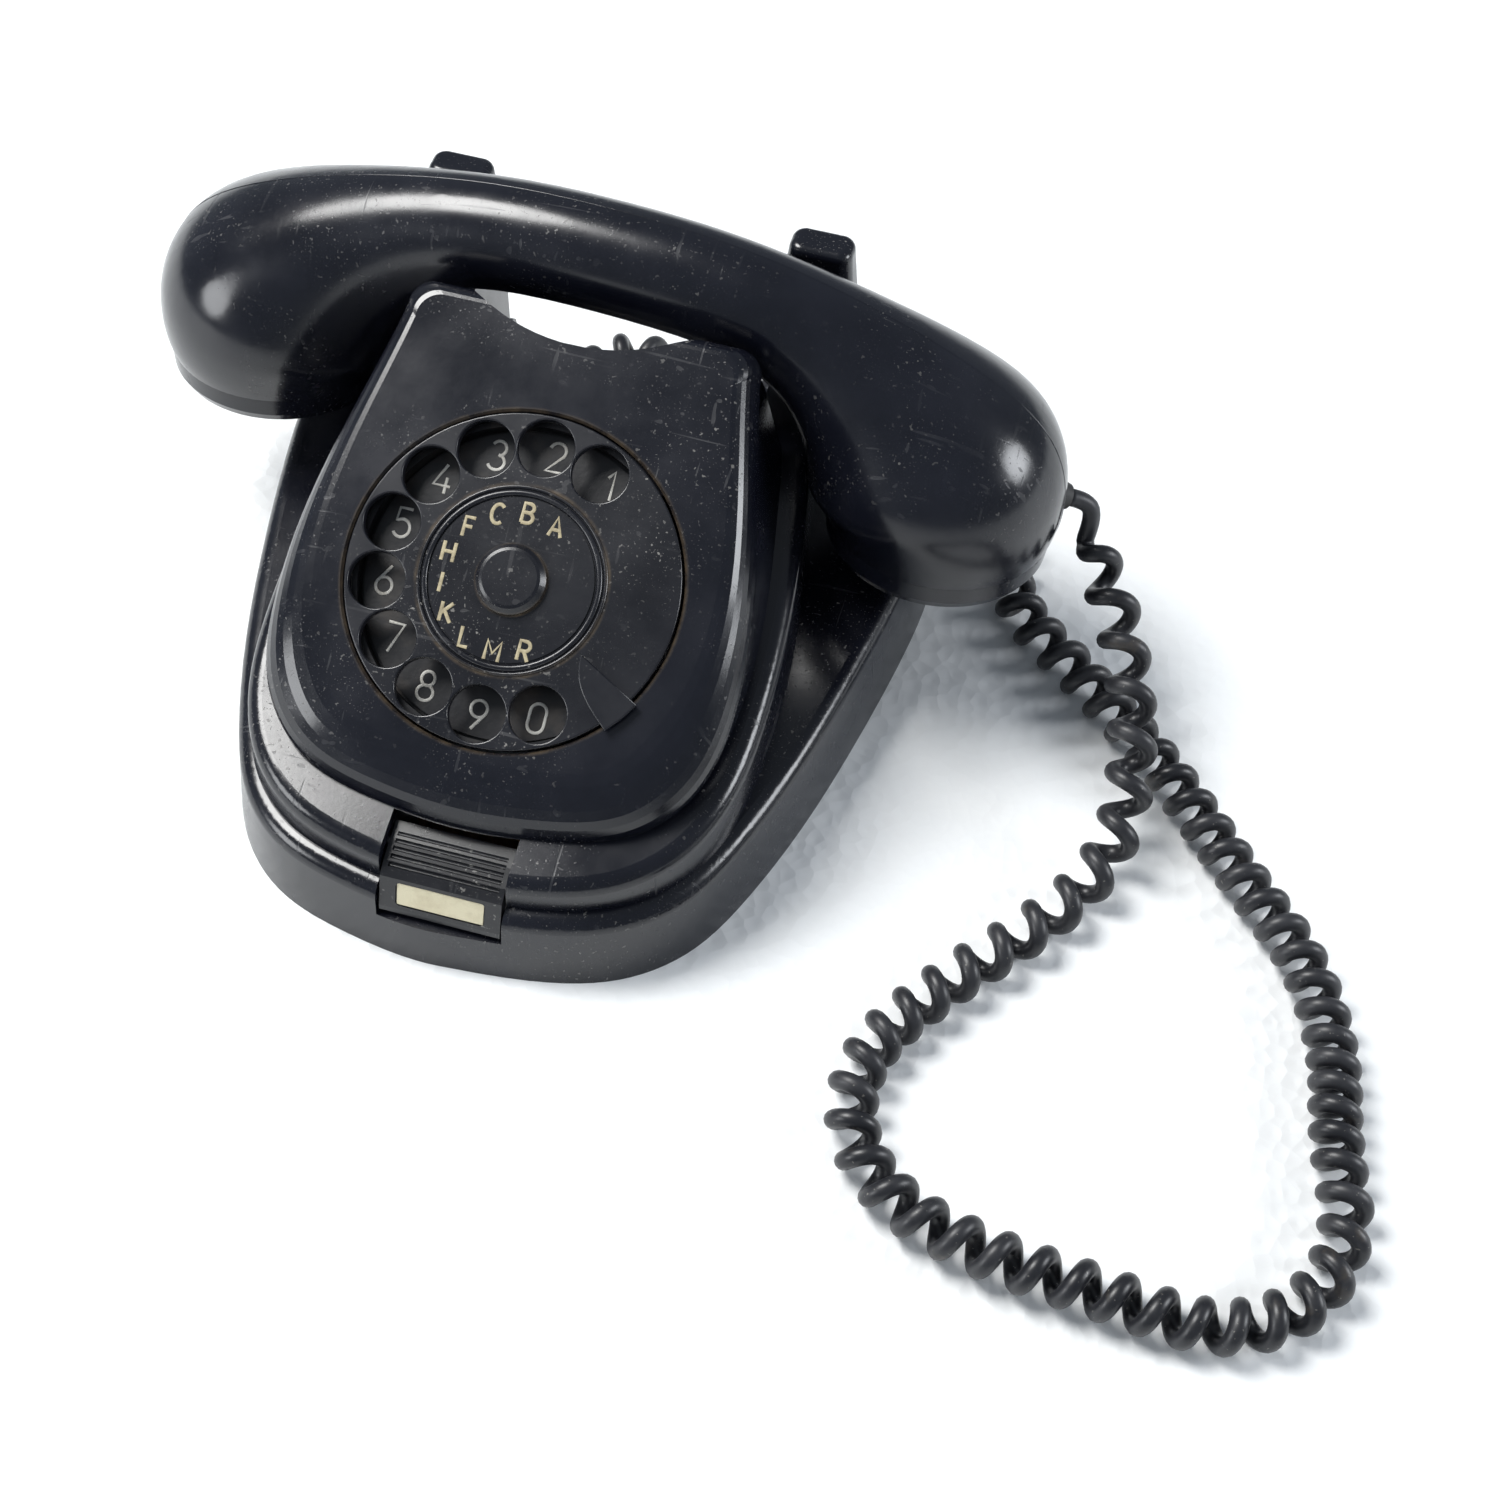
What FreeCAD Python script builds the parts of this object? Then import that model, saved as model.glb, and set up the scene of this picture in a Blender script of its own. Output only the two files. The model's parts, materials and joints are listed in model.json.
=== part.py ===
"""Desk telephone with a rotary dial: moulded casing, dial, ringer, handset and curly cord.

Frame: +X to the user's right, +Y to the back, +Z up, in millimetres.  The origin is on the
table, at the middle of the footprint without the cord.
"""
import FreeCAD, Part
import Sketcher
import math
import os

from FreeCAD import Placement, Rotation, Vector

os.makedirs("parts", exist_ok=True)
doc = FreeCAD.newDocument("RotaryTelephone")

# ---------------------------------------------------------------- driving dimensions
DIMENSIONS = {
    # casing
    "face_tilt": 30.5,
    "dial_y": -28.5,
    "dial_z": 67.0,
    "tongue_thick": 11.0,
    "tongue_roll": 15.0,
    "tongue_drop": 10.0,
    "skirt_front": 21.0,
    "skirt_slope": 3.6,
    "skirt_round": 4.0,
    "ledge_z": 50.4,
    "ledge_slope": 14.0,
    "ledge_round": 4.0,
    "wall": 3.2,
    "saddle_radius": 46.0,
    "saddle_low": 54.8,
    "recess_half": 38.5,
    "recess_front": 30.0,
    "recess_floor": 24.0,
    # base
    "plate_z": 2.4,
    "plate_thick": 1.6,
    "foot_radius": 7.0,
    "foot_x": 44.0,
    "foot_front_y": -62.0,
    "foot_rear_y": 66.0,
    # dial
    "wheel_radius": 38.0,
    "wheel_thick": 2.4,
    "wheel_top": 0.6,
    "wheel_gap": 0.5,
    "finger_radius": 6.5,
    "finger_pitch": 30.6,
    "finger_step": 25.65,
    "bead_radius": 19.7,
    "letter_radius": 18.6,
    "hub_radius": 8.0,
    "hub_rise": 2.6,
    "plate_radius": 35.2,
    "number_depth": 6.5,
    "shaft_radius": 3.0,
    "shaft_length": 22.0,
    "running_gap": 0.05,
    # handset
    "grip_y": 48.6,
    "grip_z": 95.0,
    "handset_lean": 8.0,
    "handset_yaw": -3.3,
    "bulb_radius": 27.4,
    "bulb_x": 86.0,
    "bulb_seam": -48.0,
    "cap_depth": 8.0,
    # cradle
    "prong_x": 44.8,
    "prong_y": 71.5,
    "prong_top": 92.8,
    "prong_width": 16.2,
    "prong_depth": 9.6,
    "slot_gap": 0.6,
    # front key
    "key_width": 28.6,
    "key_gap": 0.5,
    "key_sill": 12.6,
    "pin_radius": 1.2,
    "pin_length": 36.0,
    # ringer
    "gong_radius": 21.0,
    "gong_height": 11.0,
    "gong_x": 27.0,
    "gong_y": 58.0,
    # cord
    "coil_radius": 6.2,
    "cord_radius": 2.2,
}

sheet = doc.addObject("Spreadsheet::Sheet", "Dims")
for row, (alias, value) in enumerate(DIMENSIONS.items(), start=1):
    sheet.set("A%d" % row, alias)
    sheet.set("B%d" % row, str(value))
    sheet.setAlias("B%d" % row, alias)
doc.recompute()


def dim(alias):
    """A driving dimension, read back from the sheet."""
    return float(getattr(sheet, alias))


# ---------------------------------------------------------------- shared places
TILT = dim("face_tilt")
FACE = Placement(Vector(0, dim("dial_y"), dim("dial_z")), Rotation(Vector(1, 0, 0), TILT))
HANDSET = Placement(
    Vector(0, dim("grip_y"), dim("grip_z")),
    Rotation(Vector(0, 0, 1), dim("handset_yaw")).multiply(
        Rotation(Vector(1, 0, 0), -dim("handset_lean"))),
)
IDENTITY = Placement()
NODES = []


def on_face(x, y, z):
    """A placement at a point of the dial's own frame: x right, y up the face, z out of it."""
    return FACE.multiply(Placement(Vector(x, y, z), Rotation()))


def in_handset(x, y, z):
    """A placement at a point of the handset's own frame."""
    return HANDSET.multiply(Placement(Vector(x, y, z), Rotation()))


# ---------------------------------------------------------------- document helpers
def node(label, obj):
    """Marks a document object as a finished sub-part and gives it its name."""
    obj.Label = label
    NODES.append(obj)
    return obj


def shape_node(label, shape, placement=IDENTITY):
    """A sub-part with a free shape, whose sizes were read from the sheet."""
    obj = doc.addObject("Part::Feature", label + "_solid")
    obj.Shape = shape
    obj.Placement = placement
    return node(label, obj)


def primitive(kind, name, placement=IDENTITY, **sizes):
    """A Part primitive whose sizes are bound to expressions over the sheet."""
    obj = doc.addObject("Part::" + kind, name)
    for prop, expression in sizes.items():
        if isinstance(expression, str):
            obj.setExpression(prop, expression)
        else:
            setattr(obj, prop, expression)
    obj.Placement = placement
    return obj


def fuse(name, parts):
    """A boolean union of several objects."""
    obj = doc.addObject("Part::MultiFuse", name)
    obj.Shapes = parts
    return obj


def cut(name, base, tools):
    """A base object with one or more tools taken away."""
    obj = doc.addObject("Part::Cut", name)
    obj.Base = base
    obj.Tool = tools[0] if len(tools) == 1 else fuse(name + "_tools", tools)
    return obj


def plane_of(body, role):
    """One of a body's own origin planes or axes, by its role."""
    for feature in body.Origin.OriginFeatures:
        if feature.Role == role:
            return feature
    raise ValueError(role)


def sketch_on(body, name, support, offset=0.0):
    """A sketch attached flat to one of the body's own planes."""
    sketch = body.newObject("Sketcher::SketchObject", name)
    sketch.AttachmentSupport = [(support, "")]
    sketch.MapMode = "FlatFace"
    sketch.AttachmentOffset = Placement(Vector(0, 0, offset), Rotation())
    return sketch


def add_circle(sketch, x, y, radius_expression):
    """A circle in a sketch, fixed at its centre and bound to a radius."""
    index = sketch.addGeometry(Part.Circle(Vector(x, y, 0), Vector(0, 0, 1), 1.0), False)
    sketch.addConstraint(Sketcher.Constraint("DistanceX", -1, 1, index, 3, x))
    sketch.addConstraint(Sketcher.Constraint("DistanceY", -1, 1, index, 3, y))
    radius = sketch.addConstraint(Sketcher.Constraint("Radius", index, 5.0))
    sketch.setExpression("Constraints[%d]" % radius, radius_expression)
    return index


def pad(body, name, sketch, length_expression, reversed_pad=False):
    """A pad of a sketch by a length from the sheet."""
    feature = body.newObject("PartDesign::Pad", name)
    feature.Profile = sketch
    feature.setExpression("Length", length_expression)
    feature.Reversed = reversed_pad
    return feature


def disc_body(label, radius, length, placement, holes=()):
    """A flat disc with round holes through it: (x, y, radius expression) for each."""
    body = doc.addObject("PartDesign::Body", label + "_body")
    base = sketch_on(body, label + "_outline", plane_of(body, "XY_Plane"))
    add_circle(base, 0, 0, radius)
    for x, y, hole_radius in holes:
        add_circle(base, x, y, hole_radius)
    pad(body, label + "_pad", base, length)
    body.Placement = placement
    return body


def revolved(profile):
    """A solid of revolution about Z from (radius, z) points joined by straight edges."""
    points = [Vector(r, 0, z) for r, z in profile]
    face = Part.Face(Part.makePolygon(points + points[:1]))
    return face.revolve(Vector(0, 0, 0), Vector(0, 0, 1), 360)


# ---------------------------------------------------------------- outlines
def mirrored(half):
    """A closed list of points from the right half, which starts at the front centre."""
    left = [Vector(-p.x, p.y, p.z) for p in reversed(half) if abs(p.x) > 0.01]
    return half + left


def smooth_wire(half, height=0.0):
    """A closed smooth curve through the half outline and its mirror image."""
    points = mirrored([Vector(x, y, height) for x, y in half])
    curve = Part.BSplineCurve()
    curve.interpolate(points, PeriodicFlag=True)
    return Part.Wire([curve.toShape()])


BASE_HALF = [
    (0.0, -90.4), (24.0, -87.8), (42.0, -81.6), (54.5, -70.4), (63.0, -54.0), (71.0, -30.0),
    (78.0, 0.0), (83.6, 32.0), (85.0, 58.0), (78.0, 79.0), (58.0, 88.4), (30.0, 90.2), (0.0, 90.5),
]
MIDDLE_HALF = [
    (0.0, -85.0), (22.0, -82.8), (39.0, -77.2), (51.0, -67.0), (58.5, -52.0), (61.5, -30.0),
    (60.6, 0.0), (56.8, 28.0), (54.2, 50.0), (54.2, 66.0), (51.6, 79.0), (39.0, 83.5), (0.0, 84.0),
]


def inset(half, distance):
    """The same outline drawn in by a distance along each point's own normal."""
    count = len(half)
    moved = []
    for i, (x, y) in enumerate(half):
        before = half[i - 1] if i > 0 else (-half[1][0], half[1][1])
        after = half[i + 1] if i < count - 1 else (-half[i - 1][0], half[i - 1][1])
        along = Vector(after[0] - before[0], after[1] - before[1], 0).normalize()
        moved.append((x - along.y * distance, y + along.x * distance))
    moved[0] = (0.0, moved[0][1])
    moved[-1] = (0.0, moved[-1][1])
    return moved


def drafted(half, low, high, draft):
    """A solid between two heights whose wall leans in by a draft over its height."""
    return Part.makeLoft([smooth_wire(half, low), smooth_wire(inset(half, draft), high)], True, True)


def half_space(height_at_origin, slope):
    """A big block above a plane that rises to the back by a slope in degrees."""
    block = Part.makeBox(400, 400, 200, Vector(-200, -200, 0))
    block.Placement = Placement(Vector(0, 0, height_at_origin), Rotation(Vector(1, 0, 0), slope))
    return block


def round_top(solid, radius, normal):
    """Rounds the edges of the flat face that looks along a normal."""
    top = [f for f in solid.Faces if f.normalAt(0, 0).getAngle(normal) < 0.01]
    edges = top[0].OuterWire.Edges
    return solid.makeFillet(radius, edges)


def tilted_normal(slope):
    """The upward normal of a plane that rises to the back by a slope in degrees."""
    return Vector(0, -math.sin(math.radians(slope)), math.cos(math.radians(slope)))


# ---------------------------------------------------------------- handset outline
HANDSET_PATH = [
    # x, z, direction in degrees, radius, all in the handset's own frame
    (0.0, 0.0, 0.0, 13.0),
    (16.0, -0.4, -3.0, 13.0),
    (31.0, -2.0, -9.0, 13.2),
    (46.0, -6.0, -20.0, 14.6),
    (60.0, -13.2, -35.0, 18.8),
    (73.0, -22.6, -52.0, 25.6),
    (82.0, -31.5, -71.0, 30.2),
    (85.4, -41.0, -86.0, 29.4),
    (86.0, -48.0, -90.0, 27.4),
]


def handset_curves():
    """Splines along the handset for its centre with radius and for its direction, and their length."""
    stations = [(-x, z, -angle, radius) for x, z, angle, radius in reversed(HANDSET_PATH[1:])]
    stations += HANDSET_PATH
    along = [0.0]
    for (x0, z0, _, _), (x1, z1, _, _) in zip(stations, stations[1:]):
        along.append(along[-1] + math.hypot(x1 - x0, z1 - z0))
    centre = Part.BSplineCurve()
    centre.interpolate(Points=[Vector(x, z, r) for x, z, _, r in stations], Parameters=along)
    heading = Part.BSplineCurve()
    heading.interpolate(Points=[Vector(a, x, 0) for x, _, a, _ in stations], Parameters=along)
    return centre, heading, along[-1]


def handset_solid(grow=0.0):
    """The handset's body: a front and a back half shell that meet at the mould's parting plane."""
    rows, columns = 33, 13
    centre, heading, length = handset_curves()
    grid = []
    for i in range(rows):
        at = length * i / (rows - 1)
        x, z, radius = centre.value(at)
        place = Placement(Vector(x, 0, z), Rotation(Vector(0, 1, 0), 90.0 - heading.value(at).x))
        radius += grow
        grid.append([
            place.multVec(Vector(radius * math.cos(w), radius * math.sin(w), 0))
            for w in (math.pi * j / (columns - 1) for j in range(columns))])
    surface = Part.BSplineSurface()
    surface.interpolate(grid)
    back = surface.toShape()
    front = back.mirror(Vector(0, 0, 0), Vector(0, 1, 0))
    faces = [back, front]
    for side in (-1, 1):
        rim = [e for e in back.Edges + front.Edges
               if e.BoundBox.ZLength < 0.01 and e.CenterOfMass.x * side > 0]
        faces.append(Part.Face(Part.Wire(Part.__sortEdges__(rim))))
    solid = Part.Solid(Part.Shell(faces))
    if solid.Volume < 0:
        solid.reverse()
    return solid


# ---------------------------------------------------------------- casing
def flipped(point):
    """The same point on the other side of the middle plane."""
    return Vector(-point.x, point.y, point.z)


TONGUE_SIDE = [
    # x, y, outward direction, share of the rounding, all in the dial's frame
    (50.4, 20.0, 1.0, 0.0, 0.45),
    (54.4, -14.0, 1.0, -0.08, 0.72),
    (50.4, -35.5, 0.90, -0.43, 1.0),
    (40.0, -47.6, 0.62, -0.78, 1.0),
    (21.0, -54.2, 0.25, -0.97, 1.0),
]
TONGUE_FRONT = -56.2
HORN_SHARE = 0.30


def tongue_wire(shrink, depth, roll=0.0):
    """The face panel's outline at a depth, drawn in evenly by shrink and, for its rounding, by roll.

    The rounding is narrow at the horns and full along the front.
    """
    corner = shrink + roll * HORN_SHARE
    right = Vector(41.5 - corner, 58.0 - corner, -depth)
    bend = Vector(39.9 - corner, 62.6 - corner, -depth)
    horn = Vector(36.5 - corner, 64.2 - corner, -depth)
    side = [right]
    for x, y, out_x, out_y, share in TONGUE_SIDE:
        drawn_in = shrink + roll * share
        side.append(Vector(x - out_x * drawn_in, y - out_y * drawn_in, -depth))
    front = Vector(0, TONGUE_FRONT + shrink + roll, -depth)
    curve = Part.BSplineCurve()
    curve.interpolate(side + [front] + [flipped(p) for p in reversed(side)])
    corner_right = Part.Arc(horn, bend, right)
    corner_left = Part.Arc(flipped(right), flipped(bend), flipped(horn))
    across = Part.LineSegment(flipped(horn), horn)
    edges = [corner_right.toShape(), curve.toShape(), corner_left.toShape(), across.toShape()]
    return Part.Wire(Part.__sortEdges__(edges))


def tongue_solid(shrink, top, bottom, roll=0.0, drop=0.0):
    """The face panel between two depths, its edge rolled inwards by roll over a drop."""
    wires = [tongue_wire(shrink + 0.6, -bottom)]
    steps = 8 if drop else 0
    for step in range(steps + 1):
        angle = math.radians(90.0 * step / max(steps, 1))
        drawn_in = roll * (1.0 - math.cos(angle))
        below = drop * (1.0 - math.sin(angle))
        wires.append(tongue_wire(shrink, below - top, drawn_in))
    return Part.makeLoft(wires, True, True)


def to_face(shape):
    """Moves a shape drawn in the dial's frame to its place on the casing."""
    moved = shape.copy()
    moved.Placement = FACE.multiply(moved.Placement)
    return moved


def skirt_solid(thinner=0.0):
    """The low outer wall that stands on the table."""
    front = dim("skirt_front") - thinner
    slope = dim("skirt_slope")
    solid = drafted(inset(BASE_HALF, thinner), 0.0, 40.0, 4.0)
    solid = solid.cut(half_space(front + 90 * math.tan(math.radians(slope)), slope))
    if thinner:
        return solid
    return round_top(solid, dim("skirt_round"), tilted_normal(slope))


def middle_solid(thinner=0.0):
    """The body between the skirt and the ledge under the face panel."""
    slope = dim("ledge_slope")
    solid = drafted(inset(MIDDLE_HALF, thinner), 8.0, 90.0, 3.6)
    solid = solid.cut(half_space(dim("ledge_z") - thinner, slope))
    if thinner:
        return solid
    return round_top(solid, dim("ledge_round"), tilted_normal(slope))


def neck_solid(thinner=0.0):
    """The wall that rises from the ledge and narrows to the underside of the face panel."""
    depth = dim("tongue_thick")
    top = tongue_wire(2.2 + thinner, depth - 1.0)
    low = tongue_wire(-3.0 + thinner, depth + 26.0)
    solid = to_face(Part.makeLoft([top, low], True, True))
    floor = Part.makeBox(300, 300, 80, Vector(-150, -150, -54))
    rear = Part.makeBox(300, 100, 200, Vector(-150, dim("recess_front") + 3.5 - thinner, 0))
    return solid.cut(floor).cut(rear)


def casing_outer():
    """The casing's outside, before anything is opened in it."""
    tongue = to_face(tongue_solid(
        0.0, 0.0, -dim("tongue_thick"), dim("tongue_roll"), dim("tongue_drop")))
    solid = skirt_solid().fuse(middle_solid()).fuse(neck_solid()).fuse(tongue)
    return solid.removeSplitter()


def casing_hollow():
    """The space inside the walls."""
    wall = dim("wall")
    tongue = to_face(tongue_solid(
        wall, -wall, -dim("tongue_thick") - 2.0, dim("tongue_roll"), dim("tongue_drop") - wall))
    block = skirt_solid(wall).fuse(middle_solid(wall)).fuse(neck_solid(wall)).fuse(tongue)
    half = dim("recess_half") + wall
    front = dim("recess_front") - wall
    floor = dim("recess_floor") - wall
    recess = Part.makeBox(2 * half, 200, 200, Vector(-half, front, floor))
    low = Part.makeBox(300, 300, 1, Vector(-150, -150, -0.5))
    lip = Part.makeBox(300, 300, dim("plate_z") + dim("plate_thick") + 0.3, Vector(-150, -150, 0))
    inside = block.cut(recess).cut(low)
    return inside.fuse(lip.common(skirt_solid(2.0)))


# ---------------------------------------------------------------- small shared sizes
STEM_WIDTH = 5.0
STEM_DEPTH = 6.0
GLAND_NECK = 3.6
GLAND_Z = 9.6
CORD_GLAND_X = -20.0
LINE_GLAND_X = 18.0
SCREW_RADIUS = 1.5
PLATE_TOP = dim("plate_z") + dim("plate_thick")
BOSS_PLACES = [(-46.0, -48.0), (46.0, -48.0), (-68.0, 40.0), (68.0, 40.0)]
FEET = [
    (-dim("foot_x"), dim("foot_front_y")), (dim("foot_x"), dim("foot_front_y")),
    (-dim("foot_x"), dim("foot_rear_y")), (dim("foot_x"), dim("foot_rear_y")),
]


def finished_casing():
    """The casing with its hollow and every opening that something passes through."""
    outer = casing_outer()
    half = dim("recess_half")
    recess = Part.makeBox(2 * half, 200, 200, Vector(-half, dim("recess_front"), dim("recess_floor")))
    radius = dim("saddle_radius")
    saddle = to_face(Part.makeCylinder(radius, 60, Vector(0, dim("saddle_low") + radius, -50)))
    valley = handset_solid(0.5)
    valley.Placement = HANDSET
    opening = dim("wheel_radius") + dim("wheel_gap")
    dial_hole = Part.makeCylinder(opening, 20, Vector(0, 0, -14))
    dial_hole = to_face(dial_hole.fuse(Part.makeCone(opening, opening + 0.6, 0.6, Vector(0, 0, -0.55))))
    key_half = dim("key_width") / 2 + dim("key_gap")
    key_slot = Part.makeBox(2 * key_half, 30, 22.6, Vector(-key_half, -100, dim("key_sill")))
    key_slot_top = Part.makeBox(2 * key_half, 14, 22.6, Vector(-key_half, -84.0, dim("key_sill")))
    under_lip = to_face(tongue_solid(-0.3, 1.0, -dim("tongue_thick") - 0.6))
    key_slot = key_slot.fuse(key_slot_top).cut(under_lip)
    solid = outer.cut(recess).cut(saddle).cut(valley)
    solid = solid.cut(casing_hollow())
    solid = solid.cut(dial_hole).cut(key_slot)
    gap = dim("slot_gap")
    for side in (-1, 1):
        stem = Part.makeBox(
            STEM_WIDTH + 2 * gap, STEM_DEPTH + 2 * gap, 60,
            Vector(side * dim("prong_x") - STEM_WIDTH / 2 - gap,
                   dim("prong_y") - STEM_DEPTH / 2 - gap, 30),
        )
        solid = solid.cut(stem)
    for x in (CORD_GLAND_X, LINE_GLAND_X):
        hole = Part.makeCylinder(GLAND_NECK + 0.05, 30, Vector(x, 75, GLAND_Z), Vector(0, 1, 0))
        sink = Part.makeCylinder(4.9, 30, Vector(x, 88.5, GLAND_Z), Vector(0, 1, 0))
        solid = solid.cut(hole).cut(sink)
    for x, y in BOSS_PLACES:
        boss = Part.makeCylinder(4.0, 60.0, Vector(x, y, PLATE_TOP + 0.05)).common(outer)
        boss = boss.cut(Part.makeCylinder(SCREW_RADIUS - 0.3, 12.0, Vector(x, y, PLATE_TOP)))
        solid = solid.fuse(boss)
    return solid


shape_node("casing", finished_casing())


# ---------------------------------------------------------------- base plate, feet and screws
def base_plate():
    """The steel floor plate that closes the casing from below, with its screw holes."""
    plate = drafted(inset(BASE_HALF, 4.2), dim("plate_z"), PLATE_TOP, 0.1)
    for x, y in BOSS_PLACES:
        plate = plate.cut(Part.makeCylinder(SCREW_RADIUS + 0.3, 10, Vector(x, y, 0)))
    for x, y in FEET:
        plate = plate.cut(Part.makeCylinder(2.0, 10, Vector(x, y, 0)))
    return plate


def rubber_feet():
    """Four rubber feet, each with a neck pushed through the plate."""
    feet = []
    for x, y in FEET:
        pad_top = dim("plate_z")
        disc = Part.makeCylinder(dim("foot_radius"), pad_top, Vector(x, y, 0))
        neck = Part.makeCylinder(1.9, dim("plate_thick") + 1.2, Vector(x, y, pad_top))
        feet.append(disc.fuse(neck))
    return Part.makeCompound(feet)


def base_screws():
    """Four screws from below the plate into the casing's bosses."""
    screws = []
    for x, y in BOSS_PLACES:
        head = Part.makeCylinder(3.0, 1.4, Vector(x, y, dim("plate_z") - 1.4))
        slot = Part.makeBox(8, 0.8, 0.7, Vector(x - 4, y - 0.4, dim("plate_z") - 1.4))
        shank = Part.makeCylinder(SCREW_RADIUS - 0.35, 10.0, Vector(x, y, dim("plate_z")))
        screws.append(head.cut(slot).fuse(shank))
    return Part.makeCompound(screws)


shape_node("base_plate", base_plate())
shape_node("rubber_feet", rubber_feet())
shape_node("base_screws", base_screws())


# ---------------------------------------------------------------- dial, in the face's frame
WHEEL_BOTTOM = dim("wheel_top") - dim("wheel_thick")
NUMBER_TOP = -dim("number_depth")
FRAME_TOP = NUMBER_TOP - 1.4
GEAR_TOP = FRAME_TOP - 4.0
GEAR_THICK = 1.6
GEAR_TEETH = 60
PINION_TEETH = 12
GEAR_MODULE = 0.5
GOVERNOR_X = (GEAR_TEETH + PINION_TEETH) * GEAR_MODULE / 2
FIRST_HOLE = 180.0 - 4.5 * dim("finger_step")


def finger_wheel():
    """The wheel with ten finger holes, stepped round from the first one."""
    body = doc.addObject("PartDesign::Body", "finger_wheel_body")
    outline = sketch_on(body, "wheel_outline", plane_of(body, "XY_Plane"))
    add_circle(outline, 0, 0, "Dims.wheel_radius")
    pad(body, "wheel_pad", outline, "Dims.wheel_thick")
    doc.recompute()
    start = math.radians(FIRST_HOLE)
    hole = sketch_on(body, "finger_hole_outline", plane_of(body, "XY_Plane"))
    pitch = dim("finger_pitch")
    add_circle(hole, pitch * math.cos(start), pitch * math.sin(start), "Dims.finger_radius")
    pocket = body.newObject("PartDesign::Pocket", "finger_hole")
    pocket.Profile = hole
    pocket.Type = "ThroughAll"
    pocket.Reversed = True
    doc.recompute()
    pattern = body.newObject("PartDesign::PolarPattern", "finger_holes")
    pattern.Originals = [pocket]
    pattern.Axis = (plane_of(body, "Z_Axis"), [""])
    pattern.setExpression("Angle", "9 * Dims.finger_step")
    pattern.Occurrences = 10
    body.Tip = pattern
    body.Placement = on_face(0, 0, WHEEL_BOTTOM)
    return body


def gear_profile(teeth, module, phase):
    """A gear's outline with plain tapered teeth, narrow enough to leave backlash."""
    root = (teeth - 2.2) * module / 2
    tip = (teeth + 1.5) * module / 2
    points = []
    for tooth in range(teeth):
        centre = phase + 2 * math.pi * tooth / teeth
        for radius, part in ((root, -0.23), (tip, -0.11), (tip, 0.11), (root, 0.23)):
            angle = centre + part * 2 * math.pi / teeth
            points.append(Vector(radius * math.cos(angle), radius * math.sin(angle), 0))
    return Part.Face(Part.makePolygon(points + points[:1]))


def drive_gear():
    """The gear on the dial's shaft that drives the governor."""
    solid = gear_profile(GEAR_TEETH, GEAR_MODULE, 0.0).extrude(Vector(0, 0, GEAR_THICK))
    return solid.cut(Part.makeCylinder(dim("shaft_radius"), 10, Vector(0, 0, -5)))


def governor():
    """The pinion, spindle and two swinging weights that hold the dial's return speed."""
    pinion = gear_profile(PINION_TEETH, GEAR_MODULE, math.pi / PINION_TEETH)
    solid = pinion.extrude(Vector(0, 0, GEAR_THICK))
    solid = solid.fuse(Part.makeCylinder(1.2, 14.0, Vector(0, 0, -9.5)))
    arm = Part.makeBox(11.0, 1.6, 1.0, Vector(-5.5, -0.8, -8.0))
    solid = solid.fuse(arm)
    for side in (-1, 1):
        solid = solid.fuse(Part.makeCylinder(1.6, 3.0, Vector(side * 5.0, 0, -9.0)))
    return solid


def governor_cup():
    """The brake cup that the weights rub on, carried on a bracket under the frame."""
    cup = Part.makeCylinder(8.6, 6.0, Vector(0, 0, -10.5))
    cup = cup.cut(Part.makeCylinder(7.6, 5.0, Vector(0, 0, -9.5)))
    cup = cup.cut(Part.makeCylinder(1.25, 20, Vector(0, 0, -15)))
    height = FRAME_TOP - 1.5 - (GEAR_TOP - GEAR_THICK) + 10.5
    strap = Part.makeBox(4.0, 1.0, height, Vector(-2.0, 8.4, -10.5))
    return cup.fuse(strap)


def at_polar(radius, degrees):
    """A point in a plane by its radius and direction."""
    angle = math.radians(degrees)
    return Vector(radius * math.cos(angle), radius * math.sin(angle), 0)


def finger_stop():
    """The curved horn that stops the finger, standing on the rim of the dial's opening."""
    rim = dim("wheel_radius") + dim("wheel_gap") + 1.6
    tip = at_polar(23.0, 327.4)
    low, high = at_polar(rim, 316.0), at_polar(rim, 328.9)
    hook = Part.BSplineCurve()
    hook.interpolate([
        tip, at_polar(25.4, 321.0), at_polar(28.4, 317.4), at_polar(32.0, 315.9),
        at_polar(36.0, 315.7), low])
    rim_arc = Part.Arc(low, at_polar(rim, 322.5), high)
    wire = Part.Wire([hook.toShape(), rim_arc.toShape(), Part.LineSegment(high, tip).toShape()])
    blade = Part.Face(wire).extrude(Vector(0, 0, 1.2))
    blade.translate(Vector(0, 0, dim("wheel_top") + 0.45))
    foot = Part.makeCylinder(rim, 1.6, Vector(0, 0, 0.05)).cut(
        Part.makeCylinder(rim - 1.5, 5, Vector(0, 0, -1)))
    sector = Part.Face(Part.makePolygon([
        Vector(0, 0, -1), at_polar(60, 316.8) + Vector(0, 0, -1),
        at_polar(60, 328.2) + Vector(0, 0, -1),
        Vector(0, 0, -1)])).extrude(Vector(0, 0, 5))
    return blade.fuse(foot.common(sector))


def number_plate():
    """The fixed plate that carries the figures, bored for the shaft."""
    bore = (0, 0, "Dims.shaft_radius + Dims.running_gap")
    return disc_body("number_plate", "Dims.plate_radius", "Dims.running_gap * 20",
                     on_face(0, 0, NUMBER_TOP - 1.0), holes=[bore])


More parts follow.
